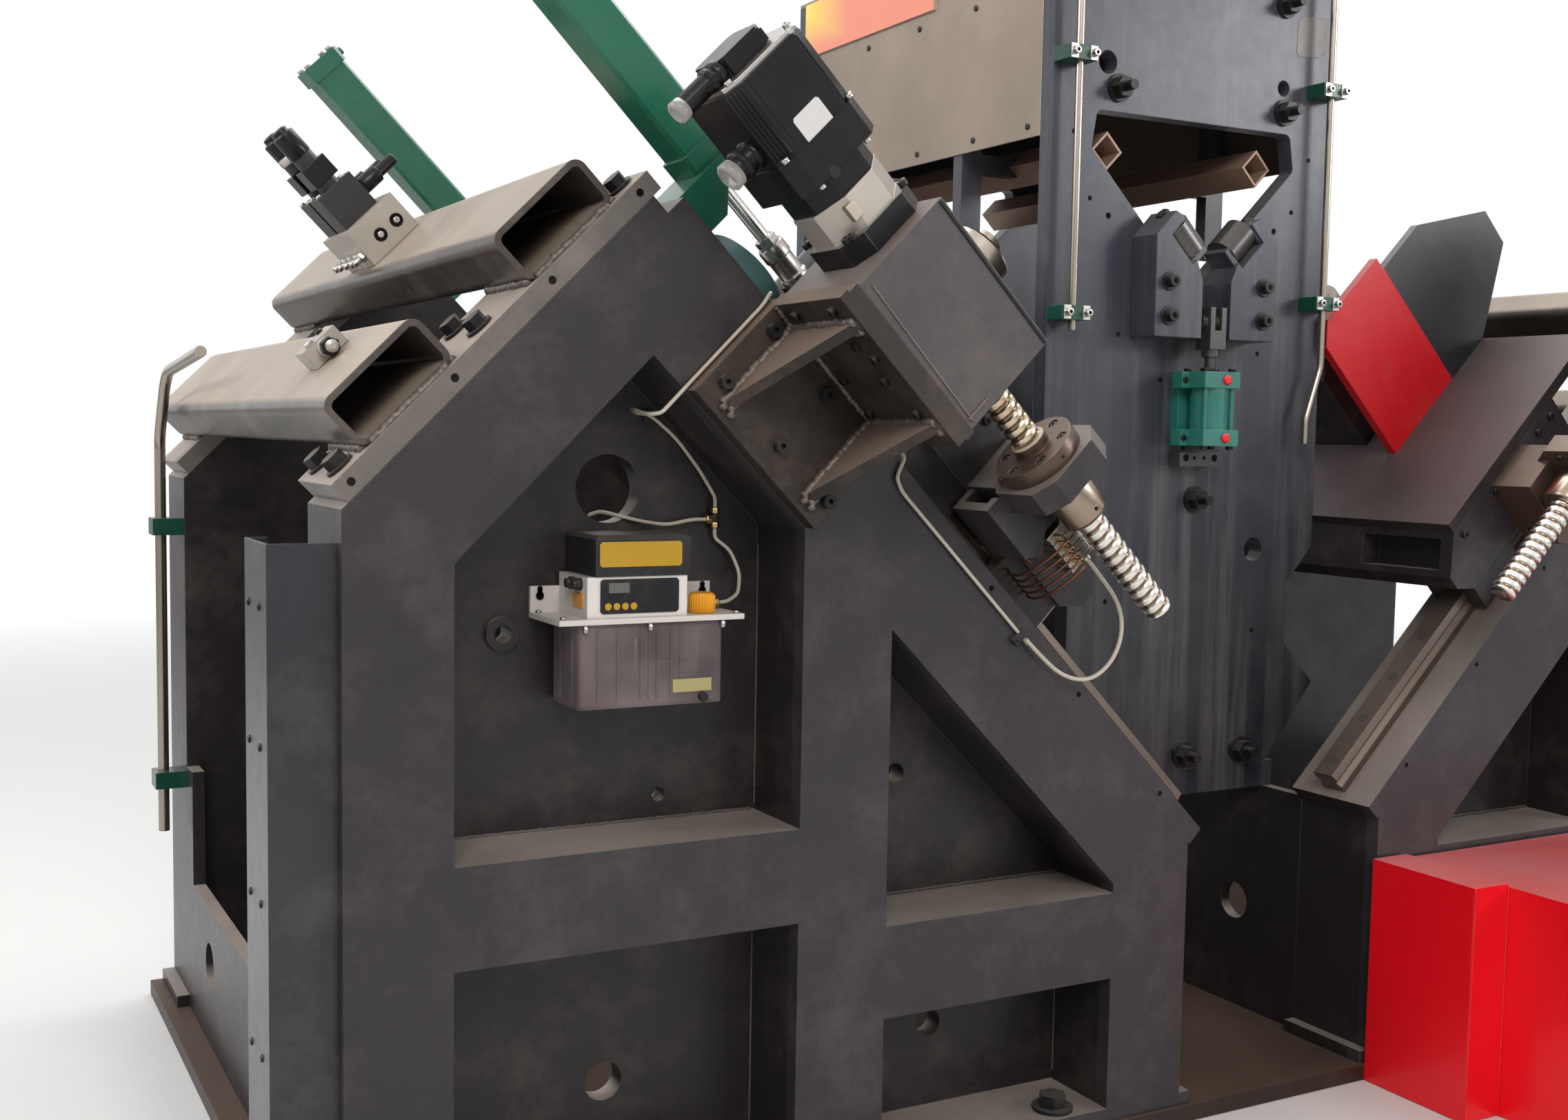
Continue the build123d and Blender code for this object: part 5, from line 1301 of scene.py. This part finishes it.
@pieces(ROW, [silver, hole_shade_black], 0.2)
def pump_screws(shell):
    """Keyholes of the lid's ears, drawn as dark discs and slots of painted shade, and the screws of the lid.
    """
    for x in (LID_LEFT + 12, LID_RIGHT - 12):
        shell.disc((x, 124, 815), NEG_Y, 5.4, 1, 18, 0, 0.4)
        shell.disc((x, 124, 824), NEG_Y, 3.6, 1, 18, 0, 0.4)
        shell.box((x - 3.2, x + 3.2), (123.6, 124), (815, 824), 1)
    for x in (LID_LEFT + 8, LID_RIGHT - 8):
        for y in (32, 118):
            shell.socket_screw((x, y, HEAD_LOW), PLUS_Z, 4, 3.4)


@pieces(ROW, [brass], 0.3)
def line_fittings(shell):
    """Brass nuts of the tee and of the lid's outlet."""
    for seat, axis in (((-930, 122, 898), PLUS_Z), ((-930, 122, 917), PLUS_Z),
                       ((-936, 122, 909), NEG_X), ((-949, 84, 803), PLUS_X)):
        shell.hexagon(seat, axis, 11, 7)


# Clip on the left front slope

@pieces(LEFT, [bolt_black, hole_shade_black], 0)
def clip_screw(shell):
    shell.socket_screw((-900, -8, 153), NEG_Y, 2.6, 2)


# Red cabinets

@pieces(ROW, [red_paint], 0.6)
def cabinet_folds(shell):
    """Folded edges of the sheets of both cabinets."""
    inner, outer = 259.5, CABINET_RIGHT - 0.4
    front = (CABINET_FRONT - 2, CABINET_FRONT)
    side_height, front_height = (3, CABINET_TOP - 4), (3, CABINET_TOP - 10)
    for x in ((CABINET_LEFT + 0.4, CABINET_LEFT + 2), (257, 259)):
        shell.box(x, (-202, -200), side_height)
    for x in ((inner, 262), (1096, outer)):
        shell.box(x, front, front_height)
    shell.box((inner, outer), front, (CABINET_TOP - 17, CABINET_TOP - 10))


# Floor, world and lamps, in metres

FLOOR_HALF = 30
FLOOR_LEVEL = -0.001
WORLD_FILL = 0.36


def add_floor():
    """Light floor that the camera sees fade to white in the distance."""
    corners = [(-FLOOR_HALF, -FLOOR_HALF), (FLOOR_HALF, -FLOOR_HALF), (FLOOR_HALF, FLOOR_HALF),
               (-FLOOR_HALF, FLOOR_HALF)]
    data = bpy.data.meshes.new("floor")
    data.from_pydata([(x, y, FLOOR_LEVEL) for x, y in corners], [], [(0, 1, 2, 3)])
    floor = bpy.data.objects.new("floor", data)
    bpy.context.scene.collection.objects.link(floor)
    made, tree, shader = material("floor")
    shader.inputs["Base Color"].default_value = (0.74, 0.73, 0.71, 1)
    shader.inputs["Roughness"].default_value = 0.7
    distance = node(tree, "ShaderNodeVectorMath", {0: place_of(tree)}, operation="LENGTH").outputs["Value"]
    rays = node(tree, "ShaderNodeLightPath").outputs["Is Camera Ray"]
    glow = node(tree, "ShaderNodeEmission", {0: (1, 1, 1, 1), 1: 1.0})
    far = calc(tree, "MULTIPLY", span(tree, distance, 2.6, 7.5), rays)
    both = node(tree, "ShaderNodeMixShader", {0: far, 1: shader.outputs[0], 2: glow.outputs[0]})
    tree.links.new(both.outputs[0], tree.nodes["Material Output"].inputs[0])
    data.materials.append(made)


def add_world():
    """White to look at and in mirrors and glass, dimmer as a light."""
    world = bpy.data.worlds.new("studio")
    bpy.context.scene.world = world
    world.use_nodes = True
    tree = world.node_tree
    tree.nodes.clear()
    path = node(tree, "ShaderNodeLightPath")
    seen = calc(tree, "MAXIMUM", path.outputs["Is Camera Ray"],
                calc(tree, "MAXIMUM", path.outputs["Is Glossy Ray"], path.outputs["Is Transmission Ray"]))
    sky = node(tree, "ShaderNodeBackground", {0: (1, 1, 1, 1), 1: span(tree, seen, 0, 1, WORLD_FILL, 1.0)})
    node(tree, "ShaderNodeOutputWorld", {0: sky.outputs[0]})


def lamp(name, where, target, size, watts, color=(1, 1, 1)):
    data = bpy.data.lights.new(name, "AREA")
    data.shape = "RECTANGLE"
    data.size, data.size_y = size
    data.energy = watts
    data.color = color
    made = bpy.data.objects.new(name, data)
    bpy.context.scene.collection.objects.link(made)
    made.location = where
    made.rotation_euler = (Vector(target) - Vector(where)).to_track_quat("-Z", "Y").to_euler()


add_floor()
add_world()
lamp("key", (-2.6, -4.2, 4.2), (-0.3, 0.2, 0.7), (3.0, 2.0), 165, (1, 0.97, 0.94))
lamp("side", (-5.0, 1.4, 3.4), (-1.2, 0.5, 0.8), (3.0, 2.0), 130, (0.92, 0.95, 1))
lamp("windows", (4.2, -3.4, 2.8), (0.2, 0.1, 1.0), (2.4, 1.2), 95, (0.96, 0.98, 1))
lamp("top", (0.4, 1.6, 4.8), (0, 0.5, 0.8), (4.0, 3.0), 150)

bpy.context.scene.view_settings.view_transform = "Standard"
